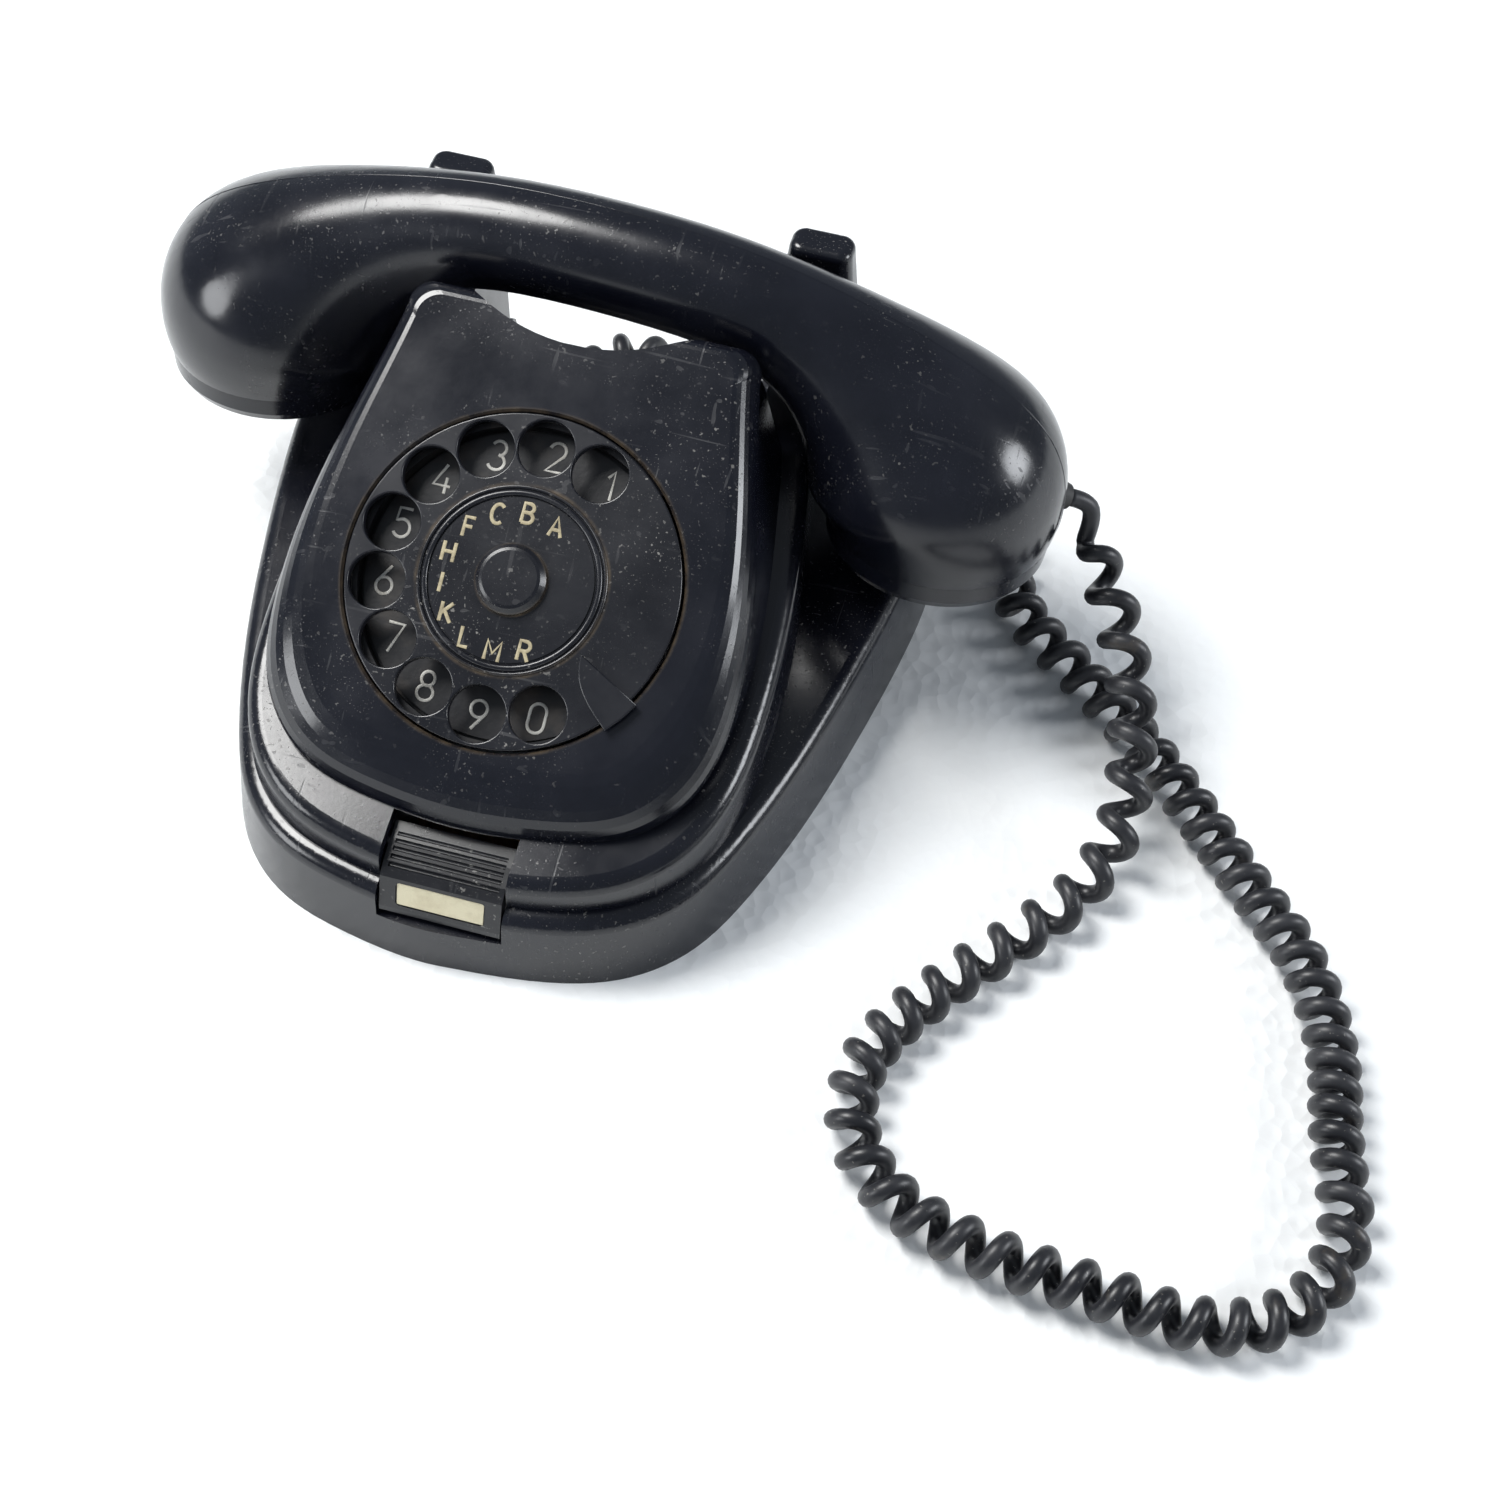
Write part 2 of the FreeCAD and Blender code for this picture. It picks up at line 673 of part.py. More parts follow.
def dial_frame():
    """The round plate that carries the shaft and the governor's spindle."""
    disc = primitive("Cylinder", "frame_disc", on_face(0, 0, FRAME_TOP - 1.5), Radius=37.0, Height=1.4)
    bore = primitive("Cylinder", "frame_bore", on_face(0, 0, FRAME_TOP - 2.5),
                     Radius="Dims.shaft_radius + Dims.running_gap", Height=5.0)
    spindle = primitive("Cylinder", "frame_spindle_bore", on_face(GOVERNOR_X, 0, FRAME_TOP - 2.5),
                        Radius=1.25, Height=5.0)
    return cut("dial_frame_cut", disc, [bore, spindle])


def dial_ring():
    """The ring that stands on the frame and spaces it from the casing."""
    outside = primitive("Cylinder", "ring_outside", on_face(0, 0, FRAME_TOP - 0.05),
                        Radius=37.4, Height=4.6)
    inside = primitive("Cylinder", "ring_inside", on_face(0, 0, FRAME_TOP - 1.05),
                       Radius=36.0, Height=10.0)
    return cut("dial_ring_cut", outside, [inside])


def bead_ring():
    """Two round beads that frame the letters."""
    radius = dim("bead_radius")
    beads = Part.makeTorus(radius, 0.75).fuse(Part.makeTorus(radius + 1.4, 0.5))
    return beads.common(Part.makeCylinder(40, 5))


def hub_cap():
    """The low round cap in the middle of the dial."""
    hub, rise = dim("hub_radius"), dim("hub_rise")
    return revolved([
        (0, 0), (hub, 0), (hub, rise * 0.45), (hub - 1.1, rise * 0.9), (hub - 1.8, rise), (0, rise)])


def mainspring():
    """The spring's cup and two of its coils."""
    cup = Part.makeCylinder(9.0, 4.0).cut(Part.makeCylinder(8.4, 3.4, Vector(0, 0, 0.6)))
    cup = cup.cut(Part.makeCylinder(dim("shaft_radius") + 0.3, 9, Vector(0, 0, -2)))
    for radius in (7.4, 5.4):
        coil = Part.makeCylinder(radius, 3.0, Vector(0, 0, 0.6))
        cup = cup.fuse(coil.cut(Part.makeCylinder(radius - 0.5, 5)))
    return cup


GEAR_BOTTOM = GEAR_TOP - GEAR_THICK
node("finger_wheel", finger_wheel())
node("number_plate", number_plate())
node("dial_frame", dial_frame())
node("dial_ring", dial_ring())
node("dial_shaft", primitive(
    "Cylinder", "dial_shaft_rod", on_face(0, 0, WHEEL_BOTTOM - dim("shaft_length")),
    Radius="Dims.shaft_radius", Height="Dims.shaft_length"))
node("letter_disc", primitive(
    "Cylinder", "letter_disc_plate", on_face(0, 0, dim("wheel_top")),
    Radius="Dims.letter_radius", Height=0.4))
shape_node("bead_ring", bead_ring(), on_face(0, 0, dim("wheel_top")))
shape_node("hub_cap", hub_cap(), on_face(0, 0, dim("wheel_top") + 0.4))
shape_node("finger_stop", finger_stop(), on_face(0, 0, 0))
shape_node("drive_gear", drive_gear(), on_face(0, 0, GEAR_BOTTOM))
shape_node("governor", governor(), on_face(GOVERNOR_X, 0, GEAR_BOTTOM))
shape_node("governor_cup", governor_cup(), on_face(GOVERNOR_X, 0, GEAR_BOTTOM))
shape_node("mainspring", mainspring(), on_face(0, 0, GEAR_BOTTOM - 5.2))


def leaf_stack(count, length, width, pitch):
    """A stack of flat contact springs clamped in an insulating block at one end."""
    block = Part.makeBox(7.0, width + 1.0, count * pitch + 1.0, Vector(-7.0, -width / 2 - 0.5, 0))
    for leaf in range(count):
        blade = Part.makeBox(length, width, 0.4, Vector(-0.5, -width / 2, 0.8 + leaf * pitch))
        block = block.fuse(blade)
    return block


shape_node("pulse_contacts", leaf_stack(3, 16.0, 4.0, 1.8), on_face(-16.0, 24.0, FRAME_TOP - 8.0))


# ---------------------------------------------------------------- front key
KEY_HINGE = Vector(0, -74.5, 22.6)
KEY_WINDOW = Placement(Vector(0, -85.9, 19.7), Rotation(Vector(1, 0, 0), -17.0))
ALONG_X = Rotation(Vector(0, 1, 0), 90)
ALONG_Y = Rotation(Vector(1, 0, 0), -90)


def key_body():
    """The flap of the front key: its outside follows the casing's shoulder."""
    outer = [
        (-72.4, 28.7), (-77.0, 27.7), (-81.6, 26.0), (-84.6, 23.9), (-87.2, 15.4), (-87.4, 14.0),
    ]
    inner = [
        (-83.6, 14.0), (-83.0, 19.5), (-80.4, 21.6), (-77.2, 22.6), (-76.6, 20.4), (-72.6, 20.4),
        (-71.2, 24.6),
    ]
    points = [Vector(-dim("key_width") / 2, y, z) for y, z in outer + inner]
    solid = Part.Face(Part.makePolygon(points + points[:1])).extrude(Vector(dim("key_width"), 0, 0))
    bore = Part.makeCylinder(
        dim("pin_radius") + dim("running_gap"), 60, KEY_HINGE - Vector(30, 0, 0), Vector(1, 0, 0))
    solid = solid.cut(bore)
    for groove in range(5):
        share = (groove + 0.5) / 5.0
        y = -74.6 - 8.4 * share
        z = 28.5 - 2.4 * share - 1.0 * share * share
        rib = Part.makeCylinder(0.55, 26.0, Vector(-13.0, y, z), Vector(1, 0, 0))
        solid = solid.cut(rib)
    recess = Part.makeBox(21.0, 3.0, 6.8, Vector(-10.5, -2.5, -3.4))
    recess = recess.makeFillet(1.2, [e for e in recess.Edges if e.BoundBox.YLength > 2.9])
    recess.Placement = KEY_WINDOW
    return solid.cut(recess)


shape_node("key_flap", key_body())
node("key_label_card", primitive(
    "Box", "key_label_sheet", KEY_WINDOW.multiply(Placement(Vector(-10.2, 0.2, -3.1), Rotation())),
    Length=20.4, Width=0.3, Height=6.2))
node("key_pin", primitive(
    "Cylinder", "key_pin_rod", Placement(KEY_HINGE - Vector(dim("pin_length") / 2, 0, 0), ALONG_X),
    Radius="Dims.pin_radius", Height="Dims.pin_length"))


def key_bracket():
    """Two ears inside the casing that hold the key's pin, on one cross bar."""
    ears = []
    for side in (-1, 1):
        ear = Part.makeBox(2.0, 7.0, 20.4, Vector(side * 16.6 - 1.0, -77.8, PLATE_TOP + 0.05))
        hole = Part.makeCylinder(dim("pin_radius"), 60, KEY_HINGE - Vector(30, 0, 0), Vector(1, 0, 0))
        ear = ear.cut(hole)
        ears.append(ear)
    bar = Part.makeBox(35.2, 7.0, 1.6, Vector(-17.6, -77.8, PLATE_TOP + 0.05))
    return bar.fuse(ears[0]).fuse(ears[1])


def key_spring():
    """The bent leaf that pushes the key out again."""
    corner = Vector(-3.0, -79.6, PLATE_TOP + 1.7)
    return Part.makeBox(6.0, 0.4, 9.0, corner).fuse(Part.makeBox(6.0, 6.0, 0.4, corner))


shape_node("key_bracket", key_bracket())
shape_node("key_spring", key_spring())


# ---------------------------------------------------------------- cradle fork
def prong(side):
    """One rear prong, rounded on top, with its foot following the cheek's slope."""
    width, depth = dim("prong_width"), dim("prong_depth")
    x, y = side * dim("prong_x"), dim("prong_y")
    wires = []
    for height, spread in ((60.0, 1.6), (79.0, 0.9), (87.0, 0.0), (dim("prong_top"), -0.6)):
        w, d = width / 2 + spread, depth / 2 + spread * 0.5
        corner = 3.4
        box = Part.makeBox(2 * w, 2 * d, 1, Vector(x - w, y - d, height))
        upright = [e for e in box.Edges if abs(e.tangentAt(e.FirstParameter).z) > 0.9]
        box = box.makeFillet(corner, upright)
        face = [f for f in box.Faces if f.normalAt(0, 0).z < -0.9][0]
        wires.append(face.OuterWire)
    block = Part.makeLoft(wires, True, True)
    top = [f for f in block.Faces if f.normalAt(0, 0).z > 0.9][0]
    block = block.makeFillet(2.2, top.OuterWire.Edges)
    valley = handset_solid(0.5)
    valley.Placement = HANDSET
    block = block.common(half_space(dim("ledge_z") + 0.9, dim("ledge_slope"))).cut(valley)
    stem = Part.makeBox(STEM_WIDTH, STEM_DEPTH, 60.0,
                        Vector(x - STEM_WIDTH / 2, y - STEM_DEPTH / 2, 16.0))
    return block.fuse(stem)


shape_node("prong_left", prong(-1))
shape_node("prong_right", prong(1))
YOKE_CORNER = Vector(-dim("prong_x") - STEM_WIDTH / 2, dim("prong_y") - STEM_DEPTH / 2, 12.9)
node("fork_yoke", primitive(
    "Box", "fork_yoke_bar", Placement(YOKE_CORNER, Rotation()),
    Length="2 * Dims.prong_x + %g" % STEM_WIDTH, Width=STEM_DEPTH, Height=3.0))
shape_node("hook_contacts", leaf_stack(3, 20.0, 5.0, 1.7),
           Placement(Vector(-12.0, 81.0, PLATE_TOP + 0.1), Rotation()))


# ---------------------------------------------------------------- ringer and circuit parts
def gong(radius):
    """A shallow bell of turned metal, open below, with a hole for its screw."""
    height = dim("gong_height")
    profile = [
        (2.1, height), (radius * 0.55, height), (radius * 0.85, height * 0.78),
        (radius, height * 0.3), (radius, 0), (radius - 1.3, 0), (radius - 1.3, height * 0.3),
        (radius * 0.85 - 1.1, height * 0.78 - 1.1), (radius * 0.55, height - 1.3), (2.1, height - 1.3),
    ]
    return revolved(profile)


GONG_Z = 8.5
for label, side in (("gong_left", -1), ("gong_right", 1)):
    place = Placement(Vector(side * dim("gong_x"), dim("gong_y") - 10.0, GONG_Z), Rotation())
    shape_node(label, gong(dim("gong_radius") - (0.8 if side > 0 else 0.0)), place)


def gong_posts():
    """Two shouldered posts that carry the gongs."""
    posts = []
    top = GONG_Z + dim("gong_height")
    for side in (-1, 1):
        foot = Vector(side * dim("gong_x"), dim("gong_y") - 10.0, PLATE_TOP + 0.05)
        post = Part.makeCylinder(2.0, top - foot.z + 1.0, foot)
        posts.append(post.fuse(Part.makeCylinder(3.4, top - 1.4 - foot.z, foot)))
    return Part.makeCompound(posts)


shape_node("gong_posts", gong_posts())
CLAPPER_PIVOT = Vector(0, 28.0, PLATE_TOP + 0.1)


def clapper():
    """The striker: a ball on a rod that swings between the gongs on its pivot bush."""
    bush = Part.makeCylinder(2.4, 5.0, CLAPPER_PIVOT)
    bush = bush.cut(Part.makeCylinder(1.0 + dim("running_gap"), 9, CLAPPER_PIVOT - Vector(0, 0, 2)))
    rod = Part.makeCylinder(0.8, 18.0, CLAPPER_PIVOT + Vector(0, 2.0, 3.0), Vector(0, 1, 0))
    ball = Part.makeSphere(2.6, CLAPPER_PIVOT + Vector(0, 20.0, 6.0 - 3.0))
    return bush.fuse(rod).fuse(ball)


shape_node("clapper", clapper())
node("clapper_pin", primitive(
    "Cylinder", "clapper_pin_rod", Placement(CLAPPER_PIVOT - Vector(0, 0, 0.05), Rotation()),
    Radius=1.0, Height=7.5))


def ringer_coils():
    """The ringer's two wound bobbins, each with a flange at both ends."""
    bobbins = []
    for side in (-1, 1):
        start = Vector(side * 13.0 - 8.0, 17.5, PLATE_TOP + 7.0)
        bobbin = Part.makeCylinder(6.2, 16.0, start, Vector(1, 0, 0))
        for end in (0.0, 14.8):
            flange = Part.makeCylinder(6.8, 1.2, start + Vector(end, 0, 0), Vector(1, 0, 0))
            bobbin = bobbin.fuse(flange)
        bobbins.append(bobbin)
    return Part.makeCompound(bobbins)


shape_node("ringer_coils", ringer_coils())
node("capacitor", primitive(
    "Box", "capacitor_case", Placement(Vector(-42, -44, PLATE_TOP + 0.1), Rotation()),
    Length=24.0, Width=30.0, Height=12.0))
node("induction_coil", primitive(
    "Cylinder", "induction_coil_winding", Placement(Vector(26, -44, PLATE_TOP + 7.2), ALONG_Y),
    Radius=7.0, Height=26.0))
node("terminal_block", primitive(
    "Box", "terminal_block_body", Placement(Vector(-15, -60, PLATE_TOP + 0.1), Rotation()),
    Length=30.0, Width=12.0, Height=8.0))


# ---------------------------------------------------------------- rear glands
def gland():
    """A grommet pushed into the rear wall, bored for a cord."""
    profile = [
        (dim("cord_radius") + 0.05, 0), (GLAND_NECK, 0), (GLAND_NECK, 3.6), (4.6, 3.6), (4.3, 5.4),
        (dim("cord_radius") + 0.05, 5.4),
    ]
    return revolved(profile)


def rear_wall(x):
    """The place of a gland in the rear wall."""
    return Placement(Vector(x, 85.0, GLAND_Z), ALONG_Y)


shape_node("cord_gland", gland(), rear_wall(CORD_GLAND_X))
shape_node("line_gland", gland(), rear_wall(LINE_GLAND_X))


# ---------------------------------------------------------------- handset
def handset_handle():
    """The grip and both bulbs in one moulding, with a pocket for a capsule in each bulb."""
    solid = handset_solid()
    x, seam = dim("bulb_x"), dim("bulb_seam")
    for side in (-1, 1):
        pocket = Part.makeCylinder(23.0, 11.0, Vector(side * x, 0, seam - 1.0))
        solid = solid.cut(pocket)
    exit_bore = Part.makeCylinder(2.9, 16.0, Vector(0, 0, 20.0))
    exit_bore.Placement = GROMMET
    return solid.cut(exit_bore)


def cap(hole_rings, dished):
    """A screwed-on end cap with sound holes, hollow inside."""
    radius, depth = dim("bulb_radius"), dim("cap_depth")
    outside = [
        (0, -depth + dished), (radius * 0.55, -depth + dished * 0.4), (radius - 4.2, -depth),
        (radius - 1.6, -depth + 1.2), (radius - 0.4, -depth + 3.4), (radius, 0),
    ]
    inside = [(23.0, 0), (22.6, -depth + 3.6), (0, -depth + dished + 2.4)]
    solid = revolved(outside + inside)
    for ring, count, size in hole_rings:
        for k in range(count):
            angle = 2 * math.pi * k / count
            place = Vector(ring * math.cos(angle), ring * math.sin(angle), -20)
            solid = solid.cut(Part.makeCylinder(size, 30, place))
    return solid


GROMMET = Placement(
    Vector(85.4, 0, -34.0),
    Rotation(Vector(0, 0, 1), 25.0).multiply(Rotation(Vector(0, 1, 0), 107.0)),
)
shape_node("handset_handle", handset_handle(), HANDSET)
shape_node("ear_cap", cap([(0.0, 1, 1.4), (6.0, 6, 1.4), (12.0, 6, 1.2)], 2.2),
           in_handset(-dim("bulb_x"), 0, dim("bulb_seam") - 0.02))
shape_node("mouth_cap", cap([(0.0, 1, 1.3), (5.0, 6, 1.3), (10.0, 12, 1.3), (15.0, 12, 1.1)], 1.2),
           in_handset(dim("bulb_x"), 0, dim("bulb_seam") - 0.02))
for label, side in (("receiver_capsule", -1), ("transmitter_capsule", 1)):
    shape_node(label, revolved([(0, 0), (20.0, 0), (22.0, 1.5), (22.0, 8.0), (0, 8.0)]),
               in_handset(side * dim("bulb_x"), 0, dim("bulb_seam") + 0.4))


def handset_grommet():
    """The rubber sleeve where the cord leaves the mouth bulb."""
    sleeve = Part.makeCylinder(2.85, 6.0, Vector(0, 0, 24.8))
    sleeve = sleeve.fuse(Part.makeCone(3.9, 3.1, 2.4, Vector(0, 0, 30.8)))
    return sleeve.cut(Part.makeCylinder(dim("cord_radius") + 0.05, 30, Vector(0, 0, 15)))


shape_node("handset_grommet", handset_grommet(), HANDSET.multiply(GROMMET))


# ---------------------------------------------------------------- curly cord
CORD_ROUTE = [
    (121.0, 48.0, 37.5), (128.8, 40.5, 33.0), (137.5, 23.0, 27.5), (143.5, 2.0, 22.8),
    (145.5, -16.0, 12.5), (140.5, -30.5, 6.6), (129.5, -46.5, 6.3), (112.5, -67.0, 6.3),
    (99.5, -87.0, 6.3), (99.5, -107.0, 6.3), (113.0, -122.0, 6.3), (136.0, -128.0, 6.3),
    (160.0, -129.5, 6.3), (186.0, -132.0, 6.3), (204.0, -121.0, 6.3), (210.5, -102.0, 6.3),
    (204.5, -81.0, 6.3), (202.5, -59.0, 6.3), (193.0, -36.0, 6.3), (177.0, -19.5, 6.3),
    (161.5, -1.0, 6.3), (146.0, 15.5, 6.3), (127.0, 32.5, 6.3), (108.5, 47.0, 6.3),
    (102.0, 66.0, 6.3), (99.5, 85.0, 6.3), (87.0, 100.5, 6.3), (65.0, 104.5, 6.3),
    (42.0, 101.0, 6.3), (20.0, 100.8, 6.3), (3.0, 106.0, 6.3), (-10.5, 107.6, 6.3),
    (-18.6, 101.6, 7.4), (-20.0, 93.2, 9.4),
]
HANDSET_LEAD = [(114.7, 49.3, 49.7), (119.4, 51.0, 48.2), (121.8, 50.2, 43.6), (121.0, 48.0, 37.5)]
BASE_LEAD = [(-20.0, 93.2, 9.4), (-20.0, 90.5, 9.6)]


def tube(route, radius):
    """A round tube along straight runs joined by tangent arcs, and the list of its radii."""
    points = [Vector(*p) for p in route]
    edges = []
    radii = []
    start = points[0]
    for i in range(1, len(points) - 1):
        before, here, after = points[i - 1], points[i], points[i + 1]
        back = (before - here)
        ahead = (after - here)
        turn = math.pi - back.getAngle(ahead)
        reach = 0.45 * min(back.Length, ahead.Length)
        radii.append(round(reach / math.tan(turn / 2), 1))
        enter = here + back.normalize() * reach
        leave = here + ahead.normalize() * reach
        middle_dir = (back + ahead).normalize()
        bend = radii[-1]
        apex = here + middle_dir * (math.hypot(bend, reach) - bend)
        edges.append(Part.LineSegment(start, enter).toShape())
        edges.append(Part.Arc(enter, apex, leave).toShape())
        start = leave
    edges.append(Part.LineSegment(start, points[-1]).toShape())
    wire = Part.Wire(edges)
    heading = (points[1] - points[0]).normalize()
    profile = Part.Wire([Part.Circle(points[0], heading, radius).toShape()])
    solid = wire.makePipeShell([profile], True, False)
    expected = math.pi * radius * radius * wire.Length
    print("tube length %.1f volume ratio %.3f radii %s" % (wire.Length, solid.Volume / expected, radii))
    return solid


shape_node("curly_cord", tube(CORD_ROUTE, dim("coil_radius")))
shape_node("cord_lead_handset", tube(HANDSET_LEAD, dim("cord_radius")))
shape_node("cord_lead_base", tube(BASE_LEAD, dim("cord_radius")))


# ---------------------------------------------------------------- checks and files
doc.recompute()
for obj in doc.Objects:
    if "Invalid" in obj.State or "Error" in obj.State:
        raise RuntimeError("failed object: " + obj.Name)
for obj in NODES:
    if obj.Shape.isNull() or not obj.Shape.isValid():
        raise RuntimeError("bad shape: " + obj.Label)
for obj in NODES:
    obj.Shape.exportStep(os.path.join("parts", obj.Label + ".step"))
print("wrote %d sub-parts" % len(NODES))
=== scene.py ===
import json
import math

import bmesh
import bpy
from mathutils import Matrix, Vector


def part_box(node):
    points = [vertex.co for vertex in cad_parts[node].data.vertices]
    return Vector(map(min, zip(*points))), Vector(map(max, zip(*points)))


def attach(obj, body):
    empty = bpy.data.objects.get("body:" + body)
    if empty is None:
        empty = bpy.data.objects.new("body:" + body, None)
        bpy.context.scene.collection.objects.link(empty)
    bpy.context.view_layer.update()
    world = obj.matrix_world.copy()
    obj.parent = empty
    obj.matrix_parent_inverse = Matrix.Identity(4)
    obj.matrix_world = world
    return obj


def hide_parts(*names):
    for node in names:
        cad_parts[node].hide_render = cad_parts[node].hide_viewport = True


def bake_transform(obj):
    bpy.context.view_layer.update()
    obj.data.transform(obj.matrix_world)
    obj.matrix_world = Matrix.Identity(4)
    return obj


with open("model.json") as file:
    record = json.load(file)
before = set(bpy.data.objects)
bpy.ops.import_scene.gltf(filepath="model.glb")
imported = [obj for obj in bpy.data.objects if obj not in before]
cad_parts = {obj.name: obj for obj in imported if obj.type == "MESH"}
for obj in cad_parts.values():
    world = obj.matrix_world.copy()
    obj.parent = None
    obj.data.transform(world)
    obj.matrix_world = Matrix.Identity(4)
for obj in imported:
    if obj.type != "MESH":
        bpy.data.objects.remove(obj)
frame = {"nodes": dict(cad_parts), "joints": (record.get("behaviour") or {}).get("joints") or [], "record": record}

MM = 0.001
SCENE = bpy.context.scene
RECORD = frame["record"]
NODES = frame["nodes"]
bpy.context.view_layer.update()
JOINTS = {joint["name"]: joint for joint in frame["joints"]}


# ------------------------------------------------------------------ camera
def add_camera():
    """The photograph's viewpoint: above and in front of the dial, a little to the right."""
    azimuth, elevation, roll = math.radians(11.02), math.radians(54.23), math.radians(4.61)
    target, distance = Vector((0.0600, -0.0460, 0.0500)), 0.4996
    ahead = Vector((-math.sin(azimuth) * math.cos(elevation),
                    math.cos(azimuth) * math.cos(elevation), -math.sin(elevation)))
    level = Vector((math.cos(azimuth), math.sin(azimuth), 0.0))
    steep = level.cross(ahead)
    right = level * math.cos(roll) + steep * math.sin(roll)
    up = steep * math.cos(roll) - level * math.sin(roll)
    data = bpy.data.cameras.new("camera")
    data.lens, data.sensor_width = 54.4, 36.0
    camera = bpy.data.objects.new("camera", data)
    SCENE.collection.objects.link(camera)
    turn = Matrix((right, up, -ahead)).transposed().to_4x4()
    camera.matrix_world = Matrix.Translation(target - ahead * distance) @ turn
    SCENE.camera = camera


add_camera()


# ------------------------------------------------------------------ mesh helpers
def mesh_object(name, verts, faces):
    """A smooth-shaded object from points and faces."""
    mesh = bpy.data.meshes.new(name)
    mesh.from_pydata([tuple(v) for v in verts], [], faces)
    mesh.update()
    for poly in mesh.polygons:
        poly.use_smooth = True
    obj = bpy.data.objects.new(name, mesh)
    SCENE.collection.objects.link(obj)
    return obj


def tube_mesh(name, points, radius, sides):
    """A round tube along closely spaced points, its frames carried along without twist."""
    verts, faces = [], []
    count = len(points)
    tangent = (points[1] - points[0]).normalized()
    side = tangent.orthogonal().normalized()
    for i, point in enumerate(points):
        nearby = points[min(i + 1, count - 1)] - points[max(i - 1, 0)]
        tangent = nearby.normalized()
        side = (side - tangent * side.dot(tangent)).normalized()
        other = tangent.cross(side)
        for j in range(sides):
            angle = 2 * math.pi * j / sides
            verts.append(point + (side * math.cos(angle) + other * math.sin(angle)) * radius)
    for i in range(count - 1):
        for j in range(sides):
            k = (j + 1) % sides
            faces.append((i * sides + j, i * sides + k, (i + 1) * sides + k, (i + 1) * sides + j))
    faces.append(tuple(reversed(range(sides))))
    faces.append(tuple(range((count - 1) * sides, count * sides)))
    return mesh_object(name, verts, faces)


def spline_points(route, resolution=24):
    """Points read from a NURBS spline whose control points are the route's."""
    curve = bpy.data.curves.new("route", "CURVE")
    curve.dimensions = "3D"
    curve.resolution_u = resolution
    spline = curve.splines.new("NURBS")
    spline.points.add(len(route) - 1)
    for point, place in zip(spline.points, route):
        point.co = (*place, 1.0)
    spline.order_u = 3
    spline.use_endpoint_u = True
    holder = bpy.data.objects.new("route", curve)
    mesh = bpy.data.meshes.new_from_object(holder)
    points = [v.co.copy() for v in mesh.vertices]
    bpy.data.meshes.remove(mesh)
    bpy.data.objects.remove(holder)
    bpy.data.curves.remove(curve)
    return points


def lengths_along(points):
    """The distance along a line at each of its points."""
    along = [0.0]
    for a, b in zip(points, points[1:]):
        along.append(along[-1] + (b - a).length)
    return along


def resample(points, step):
    """The same line in equal steps."""
    along = lengths_along(points)
    count = max(2, round(along[-1] / step))
    result, k = [], 0
    for i in range(count + 1):
        at = along[-1] * i / count
        while k < len(along) - 2 and along[k + 1] < at:
            k += 1
        share = (at - along[k]) / max(along[k + 1] - along[k], 1e-9)
        result.append(points[k].lerp(points[k + 1], min(max(share, 0.0), 1.0)))
    return result


def ease(t):
    """A smooth step from 0 to 1."""
    t = min(max(t, 0.0), 1.0)
    return t * t * (3 - 2 * t)


def table_value(table, x):
    """Straight-line reading of a table of (x, value) pairs."""
    if x <= table[0][0]:
        return table[0][1]
    for (x0, v0), (x1, v1) in zip(table, table[1:]):
        if x <= x1:
            return v0 + (v1 - v0) * (x - x0) / (x1 - x0)
    return table[-1][1]


# ------------------------------------------------------------------ curly cord
HANDSET_LEAD = [
    (0.1147, 0.0493, 0.0497), (0.1194, 0.0510, 0.0482), (0.1218, 0.0502, 0.0436),
    (0.1210, 0.0480, 0.0375),
]
CORD_ROUTE = [
    (0.1210, 0.0480, 0.0375), (0.1288, 0.0405, 0.0330), (0.1375, 0.0230, 0.0275),
    (0.1435, 0.0020, 0.0228), (0.1455, -0.0160, 0.0125), (0.1405, -0.0305, 0.0066),
    (0.1295, -0.0465, 0.0063), (0.1125, -0.0670, 0.0063), (0.0995, -0.0870, 0.0063),
    (0.0995, -0.1070, 0.0063), (0.1130, -0.1220, 0.0063), (0.1360, -0.1280, 0.0063),
    (0.1600, -0.1295, 0.0063), (0.1860, -0.1320, 0.0063), (0.2040, -0.1210, 0.0063),
    (0.2105, -0.1020, 0.0063), (0.2045, -0.0810, 0.0063), (0.2025, -0.0590, 0.0063),
    (0.1930, -0.0360, 0.0063), (0.1770, -0.0195, 0.0063), (0.1615, -0.0010, 0.0063),
    (0.1460, 0.0155, 0.0063), (0.1270, 0.0325, 0.0063), (0.1085, 0.0470, 0.0063),
    (0.1020, 0.0660, 0.0063), (0.0995, 0.0850, 0.0063), (0.0870, 0.1005, 0.0063),
    (0.0650, 0.1045, 0.0063), (0.0420, 0.1010, 0.0063), (0.0200, 0.1008, 0.0063),
    (0.0030, 0.1060, 0.0063), (-0.0105, 0.1076, 0.0063), (-0.0186, 0.1016, 0.0074),
    (-0.0200, 0.0932, 0.0094),
]
BASE_LEAD = [(-0.0200, 0.0932, 0.0094), (-0.0200, 0.0905, 0.0096)]
WIRE_RADIUS = 2.2 * MM
COIL_RADIUS = 6.2 * MM - WIRE_RADIUS
